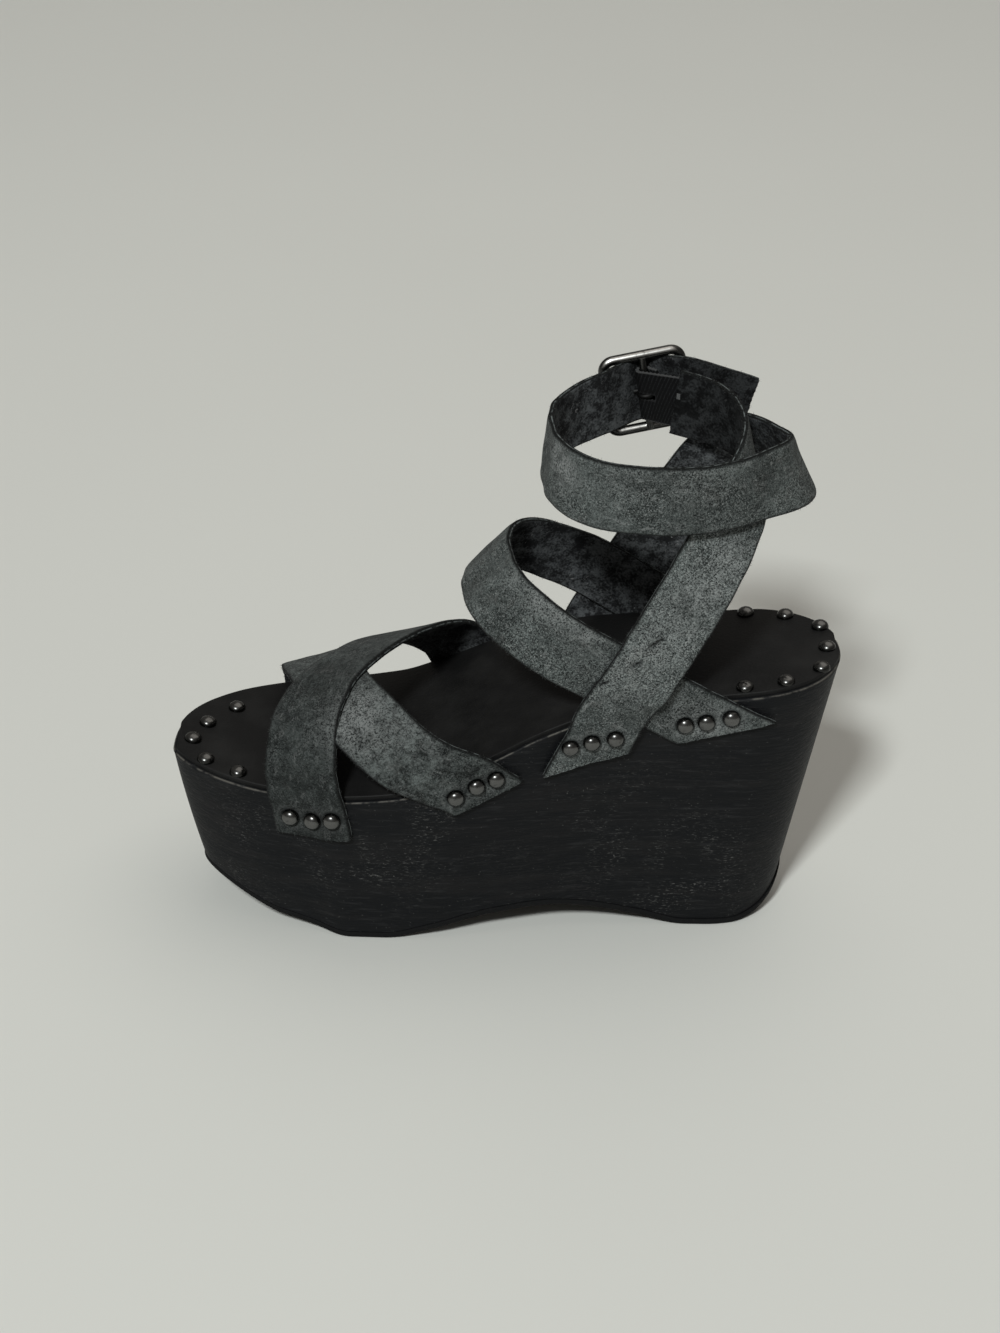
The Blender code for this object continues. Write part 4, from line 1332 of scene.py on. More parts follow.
    def skin_point(self, strap: Strap, studs: Sequence[Seat], share: float,
                   corner: Row) -> tuple[Vector, Row, Row]:
        """Point of a strap's surface.

        Args:
            strap: The strap.
            studs: Seats of all the studs, which press the leather down.
            share: Place along the strap, from 0 at its start to 1 at its finish.
            corner: Shift across the strap and height above its inner face.

        Returns:
            The point in millimetres, its marks in the order of their names, and its place on the strap for
            the texture.
        """
        path = strap.path
        hide = strap.hide
        shift, height = corner
        near_cut, far_cut = path.cuts(shift)
        ragged = [hide.fray * noise.noise(Vector((shift * self.fray_rate, end * self.end_apart, strap.seed)))
                  for end in (0, 1)]
        along = mix(near_cut + ragged[0], far_cut + ragged[1], share)
        rim = clamp(1 - (path.width / 2 - abs(shift)) / self.rim_width)
        edge_row = math.copysign(self.edge_apart, shift)
        sway = self.sway * noise.noise(Vector((along * self.sway_rate, edge_row, strap.seed)))
        widen = 1 + hide.flare * math.exp(-((along - near_cut) / self.flare_reach) ** 2)
        point, facing, hug = path.surface(along, shift * widen + sway * rim)
        push = self.relief(along, shift, strap.seed) * (1 - self.hug_calm * hug)
        outer = height / self.thickness
        soft = self.rim_soft * rim * rim * (outer > 0.5)
        dent, rub, tone, nap = self.wear_and_shade(point + facing * self.thickness, studs)
        for crease in hide.creases:
            # painted shade in the trough of each crease and crack
            press, dark = crease.mark(along, shift)
            dent += press
            tone *= 1 - dark
        from_end = max(min(along - near_cut, far_cut - along), 0.0)
        shaded = 1 - hide.end_shade * math.exp(-(from_end / self.end_reach) ** 2)
        # painted shade: the underside darkens towards the finish, inside the ankle loop
        lining_and_shade = mix(*hide.lining_and_shade, clamp((along - path.length + self.lining_from) / self.lining_over))
        # the tone mark carries painted shade from the studs and the creases
        marks = (rub, rim, outer, hide.tone * tone * shaded, hide.grit * nap, hide.blotch * nap, lining_and_shade)
        texture_place = (along * MM + strap.seed * self.texture_step, shift * MM)
        return point + facing * (height + push - soft - dent * outer), marks, texture_place

    def close_end(self, shape: bmesh.types.BMesh, ring: list[bmesh.types.BMVert]) -> None:
        """Close one end of a strap with its cut face.

        Args:
            shape: Shape of the strap, which grows.
            ring: Its section at that end.
        """
        columns = self.face_columns
        edge_points = (len(ring) - 2 * columns) // 2
        last_outer = 2 * columns + edge_points - 1
        caps = [(ring[k], ring[k + 1], ring[last_outer - 1 - k], ring[last_outer - k])
                for k in range(columns - 1)]
        caps.append(ring[columns - 1:columns + edge_points + 1])
        caps.append(ring[last_outer:] + ring[:1])
        for cap in caps:
            shape.faces.new(cap).material_index = Face.CUT

    def build_strap(self, strap: Strap, materials: Sequence[Material],
                    studs: Sequence[Seat]) -> bpy.types.Object:
        """Make one strap as a closed mesh with worn edges.

        Args:
            strap: The strap.
            materials: Suede, underside and cut edge.
            studs: Seats of all the studs, which press the leather down.

        Returns:
            The piece.
        """
        section = self.section(strap.path.width)
        count = len(section)
        steps = round(strap.path.length / self.step)
        shape = bmesh.new()
        layers = [shape.verts.layers.float.new(mark) for mark in self.marks]
        uv_layer = shape.loops.layers.uv.new("strap")
        rings = []
        places = {}
        for k in range(steps + 1):
            ring = []
            for shift, height, _ in section:
                point, marks, place = self.skin_point(strap, studs, k / steps, (shift, height))
                vert = shape.verts.new(to_metres(point))
                for layer, value in zip(layers, marks):
                    vert[layer] = value
                places[vert] = place
                ring.append(vert)
            rings.append(ring)
        for ring, ahead in zip(rings, rings[1:]):
            for k in range(count):
                following = (k + 1) % count
                made = shape.faces.new((ring[k], ring[following], ahead[following], ahead[k]))
                made.material_index = section[k][2]
        for ring in (rings[0], rings[-1]):
            self.close_end(shape, ring)
        bmesh.ops.recalc_face_normals(shape, faces=shape.faces)
        for made in shape.faces:
            for loop in made.loops:
                loop[uv_layer].uv = places[loop.vert]
        return finish_piece(strap.name, shape, (strap.node,), materials, smooth_angle=50.0)

    def build(self, studs: Sequence[Seat]) -> list[bpy.types.Object]:
        """Make all the straps.

        Args:
            studs: Seats of all the studs.

        Returns:
            The pieces.
        """
        materials = [Suede().material(), Flesh().material(), CutEdge().material()]
        rows = (("forefoot_under_strap", self.under, "forefoot_straps", self.under_hide),
                ("forefoot_over_strap", self.over, "forefoot_straps", self.over_hide),
                ("instep_strap", self.instep, "ankle_straps", self.instep_hide),
                ("inner_ankle_strap", self.inner, "ankle_straps", self.inner_hide),
                ("outer_ankle_strap", self.outer, "ankle_straps", self.outer_hide))
        straps = [Strap(*row, self.seed_step * number) for number, row in enumerate(rows)]
        return [self.build_strap(strap, materials, studs) for strap in straps]


@dataclass
class Sole:
    """Carved wedge with its rubber outsole and leather insole.

    Scuffed spots hold x, z, radius and amount.
    """

    last: Last
    stations: int = 170
    wall_levels: int = 26
    edge_round: float = 0.8
    outsole_lip: float = 0.5
    insole: float = 1.5
    insole_inset: float = 1.5
    rim_turns: Row = (0.0, 22.5, 45.0, 67.5, 90.0)
    rim_marks: Row = (0.0, 0.1, 0.8, 0.3, 0.0)
    first_level: float = 0.03
    scuff_base: float = 0.12
    worn_base: float = 0.06
    worn_heel: float = 0.8
    worn_from: float = 96.0
    worn_over: float = 10.0
    scuff_spots: Table = (
        (-70.0, 38.0, 22.0, 1.0), (-90.0, 28.0, 20.0, 0.7), (-45.0, 42.0, 22.0, 0.6), (-8.0, 58.0, 18.0, 0.6),
        (-20.0, 52.0, 18.0, 0.5), (40.0, 56.0, 22.0, 0.5), (72.0, 22.0, 24.0, 1.0), (55.0, 30.0, 20.0, 0.6))

    def places(self, inset: float = 0.0) -> list[float]:
        """Places along the length, close together at the round ends."""
        reach = self.last.length / 2 - inset
        return [-reach * math.cos(math.pi * k / self.stations) for k in range(self.stations + 1)]

    def ring(self, point_of: Callable[[float, Side], Vector], inset: float = 0.0) -> list[Vector]:
        """Closed ring of points round the shoe.

        Args:
            point_of: Gives the point at a place and side.
            inset: How far the ring's ends stand in from the shoe's ends.

        Returns:
            Medial side from toe to heel, then lateral side back to the toe.
        """
        inner = [point_of(x, Side.MEDIAL) for x in self.places(inset)]
        outer = [point_of(x, Side.LATERAL) for x in self.places(inset)]
        for end in (0, -1):
            inner[end] = (inner[end] + outer[end]) / 2
        return inner + outer[-2:0:-1]

    def shell(self, rings: Sequence[Sequence[Vector]]) -> bmesh.types.BMesh:
        """Closed shape of rings, capped by strips across the shoe.

        Args:
            rings: Rings of points from top to bottom.

        Returns:
            The shape, in metres.
        """
        shape = bmesh.new()
        loops = [[shape.verts.new(to_metres(point)) for point in ring] for ring in rings]
        count = len(loops[0])
        for upper, lower in zip(loops, loops[1:]):
            for k in range(count):
                ahead = (k + 1) % count
                shape.faces.new((upper[k], upper[ahead], lower[ahead], lower[k]))
        for loop in (loops[0], loops[-1]):
            for k in range(count // 2):
                corners = (loop[k], loop[k + 1], loop[-(k + 1) % count], loop[-k % count])
                shape.faces.new(tuple(dict.fromkeys(corners)))
        bmesh.ops.recalc_face_normals(shape, faces=shape.faces)
        return shape

    def build_wedge(self) -> None:
        """Make the wedge with a rounded rim and scuffed walls."""
        def rim(turn: float) -> Callable[[float, Side], Vector]:
            """Ring of the rounded top edge.

            Args:
                turn: From 0, flat, to 90, upright.

            Returns:
                The ring's point at a place and side.
            """
            inset = self.edge_round * (1 - math.sin(math.radians(turn)))
            drop = self.edge_round * (1 - math.cos(math.radians(turn)))

            def point(x: float, side: Side) -> Vector:
                """Point of the rounded edge."""
                near = 1 - inset / (self.last.length / 2)
                return Vector((x * near, self.last.edge(x, side, inset), self.last.footbed(x) - drop))
            return point

        rings = [self.ring(rim(turn)) for turn in self.rim_turns]
        levels = [mix(self.first_level, 1.0, k / (self.wall_levels - 1)) for k in range(self.wall_levels)]
        for drop in levels:
            rings.append(self.ring(lambda x, side: self.last.wall_point(x, drop, side)))
        shape = self.shell(rings)
        rim_layer = shape.verts.layers.float.new("rim")
        scuff_layer = shape.verts.layers.float.new("scuff")
        shape.verts.ensure_lookup_table()
        count = len(rings[0])
        for index, vert in enumerate(shape.verts):
            level = index // count
            vert[rim_layer] = self.rim_marks[level] if level < len(self.rim_marks) else 0.0
            place = vert.co / MM + WIDTH_MIDDLE
            vert[scuff_layer] = clamp(self.scuff_base + sum(
                amount * math.exp(-((place.x - x) ** 2 + (place.z - z) ** 2) / radius ** 2)
                for x, z, radius, amount in self.scuff_spots))
        finish_piece("wedge", shape, ("platform",), [StainedWood().material()])

    def build_outsole(self) -> None:
        """Make the rubber sheet, a little proud of the wedge and softened along its lower edge."""
        def level(height: float, inset: float) -> list[Vector]:
            """Ring of the sheet.

            Args:
                height: Height above the tread.
                inset: How far it is drawn in from the lip.

            Returns:
                The points of the ring.
            """
            def point(x: float, side: Side) -> Vector:
                """Point of the sheet's edge.

                Args:
                    x: Place on the wedge's top edge.
                    side: Side of the shoe.

                Returns:
                    The point, in millimetres.
                """
                foot = self.last.wall_point(x, 1.0, side)
                share = self.last.share(x)
                lip = self.outsole_lip * share - inset * mix(2.2, 1.0, clamp(3 * share))
                spread = 1 + lip / (self.last.length / 2)
                low = self.last.tread(x + self.last.rake(x))
                return Vector((foot.x * spread, foot.y + side * lip, low + height))
            return self.ring(point)

        thick = self.last.outsole
        profile = ((thick, 0.05), (thick - 0.15, 0.0), (1.2, 0.0), (0.7, 0.12), (0.3, 0.4), (0.1, 0.75),
                   (0.0, 1.2))
        shape = self.shell([level(height, inset) for height, inset in profile])
        worn_layer = shape.verts.layers.float.new("worn")
        for vert in shape.verts:
            heel = clamp((vert.co.x / MM - self.worn_from) / self.worn_over)
            vert[worn_layer] = self.worn_base + self.worn_heel * heel
        finish_piece("outsole_sheet", shape, ("outsole",), [SoleRubber().material()])

    def build_insole(self) -> None:
        """Make the leather sheet on the footbed, with a soft upper edge."""
        def level(height: float, inset: float) -> list[Vector]:
            """Ring of the sheet at a height above the footbed."""
            return self.ring(lambda x, side: Vector((x, self.last.edge(x, side, inset),
                                                     self.last.footbed(x) + height)), inset)

        top = self.last.gap + self.insole
        inset = self.insole_inset
        profile = ((top, inset + 0.6), (top - 0.08, inset + 0.28), (top - 0.3, inset + 0.05),
                   (top - 0.6, inset), (0.0, inset))
        shape = self.shell([level(*place) for place in profile])
        finish_piece("insole_sheet", shape, ("insole",), [InsoleLeather().material()])

    def build(self) -> None:
        """Make the whole sole."""
        self.build_wedge()
        self.build_outsole()
        self.build_insole()


class TreeBench(NodeBench):
    """Geometry Nodes tree with named inputs."""

    def __init__(self, name: str) -> None:
        """Start a tree with its geometry sockets.

        Args:
            name: Name of the tree.
        """
        super().__init__(bpy.data.node_groups.new(name, "GeometryNodeTree"))
        self.tree.interface.new_socket("Geometry", in_out="INPUT", socket_type="NodeSocketGeometry")
        self.tree.interface.new_socket("Geometry", in_out="OUTPUT", socket_type="NodeSocketGeometry")
        self.source = self.node("NodeGroupInput")
        self.target = self.node("NodeGroupOutput")
        self.sizes: dict[str, object] = {}

    def size(self, name: str, value: object, kind: str = "NodeSocketFloat") -> Socket:
        """Add a named input.

        Args:
            name: Name of the input.
            value: Its value.
            kind: Type of its socket.

        Returns:
            The socket that carries it into the tree.
        """
        made = self.tree.interface.new_socket(name, in_out="INPUT", socket_type=kind)
        self.sizes[made.identifier] = value
        return self.source.outputs[name]

    def step(self, kind: str, feeds: dict[str | int, object] | None = None, output: str | int = "Geometry",
             **settings: object) -> Socket:
        """Add a node and return one of its outputs."""
        return self.node(kind, feeds, **settings).outputs[output]

    def finish(self, geometry: Socket, material: Socket) -> None:
        """Realize the instances, smooth them and give them their material.

        Args:
            geometry: Geometry that the tree has made.
            material: Socket that carries the material.
        """
        for kind in ("GeometryNodeRealizeInstances", "GeometryNodeSetShadeSmooth"):
            geometry = self.step(kind, {"Geometry": geometry})
        painted = self.step("GeometryNodeSetMaterial", {"Geometry": geometry, "Material": material})
        self.feed(self.target.inputs["Geometry"], painted)

    def run(self, mesh: bpy.types.Mesh) -> bpy.types.Mesh:
        """Run the tree on a mesh.

        Args:
            mesh: Mesh that the tree starts from.

        Returns:
            The result as a plain mesh.
        """
        holder = bpy.data.objects.new(self.tree.name, mesh)
        bpy.context.scene.collection.objects.link(holder)
        change = holder.modifiers.new(self.tree.name, "NODES")
        change.node_group = self.tree
        for identifier, value in self.sizes.items():
            change[identifier] = value
        bpy.context.view_layer.update()
        made = bpy.data.meshes.new_from_object(holder.evaluated_get(bpy.context.evaluated_depsgraph_get()))
        bpy.data.objects.remove(holder, do_unlink=True)
        return made


@dataclass
class StudSet:
    """Domed stud heads on the strap ends and along the edge of the insole."""

    last: Last
    diameter: float = 6.4
    height: float = 2.3
    skirt: float = 0.75
    skirt_flare: float = 1.02
    skirt_sink: float = 0.42
    base_cut: float = -0.01
    painted_highlight_band: Row = (0.12, 0.78)
    sides: int = 36
    rings: int = 22
    insole: float = 1.5
    toe_row: Table = ((-97.7, -28.7), (-110.2, -22.3), (-116.0, -9.9), (-111.6, 2.6), (-101.7, 15.5))
    heel_row: Table = (
        (85.8, -25.6), (100.8, -23.8), (114.3, -15.8), (117.8, -1.6), (116.8, 13.9), (104.8, 23.7),
        (90.3, 27.7))

    def insole_seat(self, x: float, y: float) -> Seat:
        """Seat of a stud on the insole.

        Args:
            x: Place along the shoe.
            y: Place across the shoe.

        Returns:
            Seat and direction.
        """
        slope = self.last.top_direction(x)
        facing = Vector((-slope.z, 0.0, slope.x))
        top = self.last.footbed(x) + self.last.gap + self.insole
        return Vector((x, y, top)) + facing * self.last.gap, facing

    def tree(self, metal: Material) -> TreeBench:
        """Tree that sets a domed head on every point, along the point's own facing.

        Args:
            metal: Finish of the heads.

        Returns:
            The tree.
        """
        bench = TreeBench("domed_studs")
        radius = bench.size("Radius", self.diameter / 2 * MM)
        rise = bench.size("Dome height", self.height * MM)
        skirt = bench.size("Skirt", self.skirt * MM)
        material = bench.size("Metal", metal, "NodeSocketMaterial")
        ball = bench.step("GeometryNodeMeshUVSphere",
                          {"Segments": self.sides, "Rings": self.rings, "Radius": 1.0}, "Mesh")
        place = bench.step("GeometryNodeInputPosition", output=0)
        height = bench.step("ShaderNodeSeparateXYZ", {0: place}, "Z")
        below = bench.step("FunctionNodeCompare", {"A": height, "B": self.base_cut}, "Result",
                           data_type="FLOAT", operation="LESS_THAN")
        dome = bench.step("GeometryNodeDeleteGeometry", {"Geometry": ball, "Selection": below},
                          domain="POINT")
        # painted highlight: each dome's crown is marked to be painted paler than its base, standing in for
        # the light on its top
        crest = bench.band(height, *self.painted_highlight_band)
        feeds = {"Geometry": dome, "Name": "crest", "Value": crest}
        dome = bench.step("GeometryNodeStoreNamedAttribute", feeds, data_type="FLOAT", domain="POINT")
        size = bench.step("ShaderNodeCombineXYZ", {"X": radius, "Y": radius, "Z": rise}, 0)
        dome = bench.step("GeometryNodeTransform", {"Geometry": dome, "Scale": size})
        flared = bench.times(radius, self.skirt_flare)
        feeds = {"Vertices": self.sides, "Radius": flared, "Depth": skirt}
        wall = bench.step("GeometryNodeMeshCylinder", feeds, "Mesh", fill_type="NGON")
        drop = bench.step("ShaderNodeCombineXYZ", {"Z": bench.times(skirt, -self.skirt_sink)}, 0)
        wall = bench.step("GeometryNodeTransform", {"Geometry": wall, "Translation": drop})
        head = bench.node("GeometryNodeJoinGeometry")
        for part in (dome, wall):
            bench.feed(head.inputs["Geometry"], part)
        facing = bench.step("GeometryNodeInputNamedAttribute", {"Name": "facing"}, "Attribute",
                            data_type="FLOAT_VECTOR")
        turn = bench.step("FunctionNodeAlignRotationToVector", {"Vector": facing}, "Rotation", axis="Z")
        feeds = {"Points": bench.source.outputs["Geometry"], "Instance": head.outputs["Geometry"],
                 "Rotation": turn}
        bench.finish(bench.step("GeometryNodeInstanceOnPoints", feeds, "Instances"), material)
        return bench

    def build(self, strap_seats: Sequence[Seat], metal: Material) -> None:
        """Make all the studs.

        Args:
            strap_seats: Seats on the strap ends.
            metal: Their finish.
        """
        seats = list(strap_seats) + [self.insole_seat(x, y) for x, y in self.toe_row + self.heel_row]
        points = bpy.data.meshes.new("stud_seats")
        points.from_pydata([to_metres(seat) for seat, _ in seats], [], [])
        facing = points.attributes.new("facing", "FLOAT_VECTOR", "POINT")
        for item, (_, direction) in zip(facing.data, seats):
            item.vector = direction
        made = self.tree(metal).run(points)
        nodes = [name for name in frame["nodes"] if name.startswith("stud_")]
        finish_piece("domed_studs", made, nodes, smooth_angle=60.0)


@dataclass
class EdgeFuzz:
    """Loose fibres along the raw edges of the straps."""

    density: float = 0.75
    length: float = 1.0
    radius: float = 0.055
    sizes: Row = (0.25, 1.2)
    lean: float = 0.9
    seed: int = 4

    def tree(self, fibre: Material) -> TreeBench:
        """Tree that scatters thin leaning fibres on the faces that carry the cut edge.

        Args:
            fibre: Finish of the fibres.

        Returns:
            The tree.
        """
        bench = TreeBench("edge_fibres")
        density = bench.size("Fibres per square metre", self.density / MM ** 2)
        length = bench.size("Fibre length", self.length * MM)
        radius = bench.size("Fibre radius", self.radius * MM)
        seed = bench.size("Seed", self.seed, "NodeSocketInt")
        material = bench.size("Fibre", fibre, "NodeSocketMaterial")
        index = bench.step("GeometryNodeInputMaterialIndex", output=0)
        raw = bench.step("FunctionNodeCompare", {2: index, 3: int(Face.CUT)}, "Result", data_type="INT",
                         operation="EQUAL")
        scatter = bench.node("GeometryNodeDistributePointsOnFaces",
                             {"Mesh": bench.source.outputs["Geometry"], "Selection": raw,
                              "Density": density, "Seed": seed})
        hair = bench.step("GeometryNodeMeshCone",
                          {"Vertices": 3, "Radius Top": 0.0, "Radius Bottom": radius, "Depth": length},
                          "Mesh", fill_type="NONE")
        shortest, longest = self.sizes
        size = bench.step("FunctionNodeRandomValue", {2: shortest, 3: longest, "Seed": seed}, 1,
                          data_type="FLOAT")
        grown = bench.step("GeometryNodeInstanceOnPoints",
                           {"Points": scatter.outputs["Points"], "Instance": hair,
                            "Rotation": scatter.outputs["Rotation"], "Scale": size}, "Instances")
        tilt = bench.step("FunctionNodeRandomValue",
                          {0: (-self.lean, -self.lean, 0.0), 1: (self.lean, self.lean, 0.0), "Seed": seed},
                          0, data_type="FLOAT_VECTOR")
        feeds = {"Instances": grown, "Rotation": tilt}
        bench.finish(bench.step("GeometryNodeRotateInstances", feeds, "Instances"), material)
        return bench

    def build(self, straps: Sequence[bpy.types.Object]) -> None:
        """Make the fibres of all the straps as one piece.

        Args:
            straps: Pieces whose cut edges carry the fibres.
        """
        fibre = Thread("loose_fibre", (0.012, 0.0125, 0.0125), (0.07, 0.075, 0.073)).material()
        tree = self.tree(fibre)
        shape = bmesh.new()
        for strap in straps:
            made = tree.run(strap.data.copy())
            shape.from_mesh(made)
        finish_piece("edge_fibres", shape, materials=[fibre])


@dataclass
class Buckle:
    """Square buckle with its prong, and the ribbed elastic that ties it to the inner ankle strap."""

    last: Last
    centre: Row = (46.5, 38.2, 193.0)
    yaw: float = 9.0
    roll: float = 10.5
    length: float = 32.0
    height: float = 31.8
    wire: float = 2.9
    plating: float = 0.35
    # painted highlight: the side of the wire facing this direction is painted pale
    shine: Row = (-0.12, -0.79, 0.60)
    shine_from: float = 0.88
    shine_over: float = 0.09
    corner: float = 4.0
    bar_sink: float = 2.0
    bar: float = 2.8
    prong: float = 2.0
    prong_turn: Row = (-60.0, -250.0)
    prong_bend: Row = (0.6, 0.9)
    prong_reach: float = 1.7
    prong_tip: float = 0.6
    elastic: float = 1.2
    elastic_width: float = 19.4
    elastic_turn: Row = (-110.0, -355.0)
    elastic_tail: Row = (2.6, -1.6, 0.0)
    elastic_start: Row = (0.55, 1.0)
    elastic_step: float = 0.25
    hem: float = 0.35
    slot: float = 2.5
    slot_reach: float = 4.6
    slot_selvage: float = 0.3
    rib_pitch: float = 1.25
    rib_depth: float = 0.14
    rib_lean: float = 0.36
    tacks: Row = (3.0,)
    tack_shares: Row = (0.78, 0.84, 0.90)
    tack_length: float = 2.2
    tack_sink: float = 0.15
    thread_radius: float = 0.22

    def point(self, along: float, out: float, up: float) -> Vector:
        """Point given in the buckle's own frame.

        Args:
            along: Distance along the strap, towards the heel.
            out: Distance out from the ankle.
            up: Distance up.

        Returns:
            The point, in millimetres.
        """
        turned = Vector((along, out, up))
        turned.rotate(Euler((0.0, -math.radians(self.roll), math.radians(self.yaw))))
        return Vector(self.centre) + turned

    def tube(self, shape: bmesh.types.BMesh, points: Sequence[Vector], sizes: Sequence[float],
             closed: bool = False, sides: int = 16) -> None:
        """Add a round wire to a shape, marked for a painted highlight on the side that faces the shine
        direction.

        Args:
            shape: The shape that grows.
            points: Middle of the wire, in millimetres.
            sizes: Diameter at each point.
            closed: Whether the wire is a ring.
            sides: Corners of its section.
        """
        count = len(points)
        crest_layer = shape.verts.layers.float.get("crest") or shape.verts.layers.float.new("crest")
        shine = Vector(self.shine)
        rings = []
        across = Vector((0.0, 1.0, 0.0))
        for k, (point, size) in enumerate(zip(points, sizes)):
            low = points[k - 1] if closed or k else point
            high = points[(k + 1) % count] if closed or k < count - 1 else point
            heading = (high - low).normalized()
            across = (across - heading * across.dot(heading)).normalized()
            other = heading.cross(across)
            ring = []
            for corner in range(sides):
                angle = 2 * math.pi * corner / sides
                outward = across * math.cos(angle) + other * math.sin(angle)
                vert = shape.verts.new(to_metres(point + outward * size / 2))
                vert[crest_layer] = clamp((outward.dot(shine) - self.shine_from) / self.shine_over)
                ring.append(vert)
            rings.append(ring)
        pairs = list(zip(rings, rings[1:])) + ([(rings[-1], rings[0])] if closed else [])
        for ring, ahead in pairs:
            for k in range(sides):
                following = (k + 1) % sides
                shape.faces.new((ring[k], ring[following], ahead[following], ahead[k]))
        if not closed:
            shape.faces.new(rings[0])
            shape.faces.new(rings[-1])

    def build_frame(self, metal: Material) -> None:
        """Make the rounded square frame and its centre bar.

        Args:
            metal: Finish of the frame.
        """
        half_long = (self.length - self.wire) / 2
        half_high = (self.height - self.wire) / 2
        corner_steps = 10
        path = []
        for quarter, (sign_long, sign_high) in enumerate(((1, 1), (-1, 1), (-1, -1), (1, -1))):
            for k in range(corner_steps):
                angle = math.pi / 2 * (quarter + k / (corner_steps - 1))
                along = sign_long * (half_long - self.corner) + self.corner * math.cos(angle)
                up = sign_high * (half_high - self.corner) + self.corner * math.sin(angle)
                path.append(self.point(along, 0.0, up))
        shape = bmesh.new()
        self.tube(shape, path, [self.wire + 2 * self.plating] * len(path), closed=True, sides=28)
        bar = [self.point(0.0, -self.bar_sink, up) for up in (-half_high, half_high)]
        self.tube(shape, bar, [self.bar] * 2)
        bmesh.ops.recalc_face_normals(shape, faces=shape.faces)
        finish_piece("buckle_frame_polished", shape, ("buckle_frame",), [metal])

    def build_prong(self, metal: Material) -> None:
        """Make the prong, hooked round the bar and resting on the front of the frame.

        Args:
            metal: Finish of the prong.
        """
        half_long = (self.length - self.wire) / 2
        hook = self.bar / 2 + self.last.gap + self.prong / 2
        rest = self.wire / 2 + self.last.gap + self.prong / 2
        hook_steps = 14
        points = []
        for k in range(hook_steps + 1):
            angle = math.radians(mix(*self.prong_turn, k / hook_steps))
            points.append(self.point(hook * math.cos(angle), hook * math.sin(angle) - self.bar_sink, 0.0))
        bend = self.point(-half_long * self.prong_bend[0], rest * self.prong_bend[1], 0.0)
        points += [points[-1].lerp(bend, share) for share in (0.33, 0.66)]
        points.append(bend)
        points += [self.point(-half_long - reach, rest, 0.0) for reach in (0.0, self.prong_reach)]
        sizes = [self.prong] * (len(points) - 1) + [self.prong * self.prong_tip]
        shape = bmesh.new()
        self.tube(shape, points, sizes, sides=12)
        bmesh.ops.recalc_face_normals(shape, faces=shape.faces)
        finish_piece("prong_polished", shape, ("buckle_prong",), [metal])

    def elastic_course(self, rows: Table) -> list[tuple[Vector, Vector]]:
        """Course of the elastic's middle line with its width direction.

        Args:
            rows: Last rows of the inner ankle strap.

        Returns:
            Points and width directions, from the sewn end round the bar.
        """
        bar = self.point(0.0, -self.bar_sink, 0.0)
        axis = self.point(0.0, -self.bar_sink, 1.0) - bar
        loop = self.bar / 2 + self.last.gap + self.elastic / 2
        course = []
        start, finish = (Vector(row[:3]) + facing_normal(*row[3:]) * self.elastic for row in rows)
        for share in self.elastic_start:
            course.append((start.lerp(finish, share), Vector((0.0, 0.0, 1.0))))
        steps = 16
        for k in range(steps + 1):
            angle = math.radians(mix(*self.elastic_turn, k / steps))
            out = loop * math.sin(angle) - self.bar_sink
            course.append((self.point(loop * math.cos(angle), out, 0.0), axis))
        course.append((course[-1][0] + Vector(self.elastic_tail), axis))
        return course

    def rib_tree(self, webbing: Material) -> TreeBench:
        """Tree that raises crosswise ribs on the ribbon by the distance run along it.

        Args:
            webbing: Finish of the ribbon.

        Returns:
            The tree.
        """
        bench = TreeBench("elastic_ribs")
        pitch = bench.size("Rib pitch", self.rib_pitch * MM)
        depth = bench.size("Rib depth", self.rib_depth * MM)
        material = bench.size("Webbing", webbing, "NodeSocketMaterial")
        run = bench.step("GeometryNodeInputNamedAttribute", {"Name": "run"}, "Attribute", data_type="FLOAT")
        wave = bench.math("SINE", bench.times(bench.math("DIVIDE", run, pitch), 2 * math.pi))
        normal = bench.step("GeometryNodeInputNormal", output=0)
        lift = bench.step("ShaderNodeVectorMath", {0: normal, "Scale": bench.times(wave, depth)}, 0,
                          operation="SCALE")
        feeds = {"Geometry": bench.source.outputs["Geometry"], "Offset": lift}
        bench.finish(bench.step("GeometryNodeSetPosition", feeds), material)
        return bench

    def build_elastic(self, rows: Table, webbing: Material) -> None:
        """Make the ribbed elastic, slotted where the prong passes.

        Args:
            rows: Last rows of the inner ankle strap.
            webbing: Its finish.
        """
        course = self.elastic_course(rows)
        fine = []
        for (point, axis), (ahead, ahead_axis) in zip(course, course[1:]):
            parts = max(1, round((ahead - point).length / self.elastic_step))
            fine += [(point.lerp(ahead, k / parts), axis.lerp(ahead_axis, k / parts)) for k in range(parts)]
        fine.append(course[-1])
        half = self.elastic_width / 2
        slot = self.slot / 2
        upper = [slot, slot + self.hem, half * 0.35, half * 0.7, half - self.hem, half]
        levels = [-level for level in reversed(upper)] + upper
        bar = self.point(0.0, -self.bar_sink, 0.0)
        shape = bmesh.new()
        run_layer = shape.verts.layers.float.new("run")
        selvage_layer = shape.verts.layers.float.new("selvage")
        rings = []
        run = 0.0
        for k, (point, axis) in enumerate(fine):
            before = fine[max(k - 1, 0)][0]
            run += (point - before).length
            heading = fine[min(k + 1, len(fine) - 1)][0] - before
            side = axis.cross(heading).normalized() * self.elastic / 2
            ring = []
            near_bar = (point - bar).length < self.slot_reach
            for sign in (-1, 1):
                for level in levels:
                    vert = shape.verts.new(to_metres(point + side * sign + axis * level))
                    vert[run_layer] = (run + self.rib_lean * level) * MM
                    slot_edge = self.slot_selvage if near_bar and abs(level) == slot else 0.0
                    vert[selvage_layer] = 1.0 if abs(level) == half else slot_edge
                    ring.append(vert)
            rings.append((ring, near_bar))
        across = len(levels)
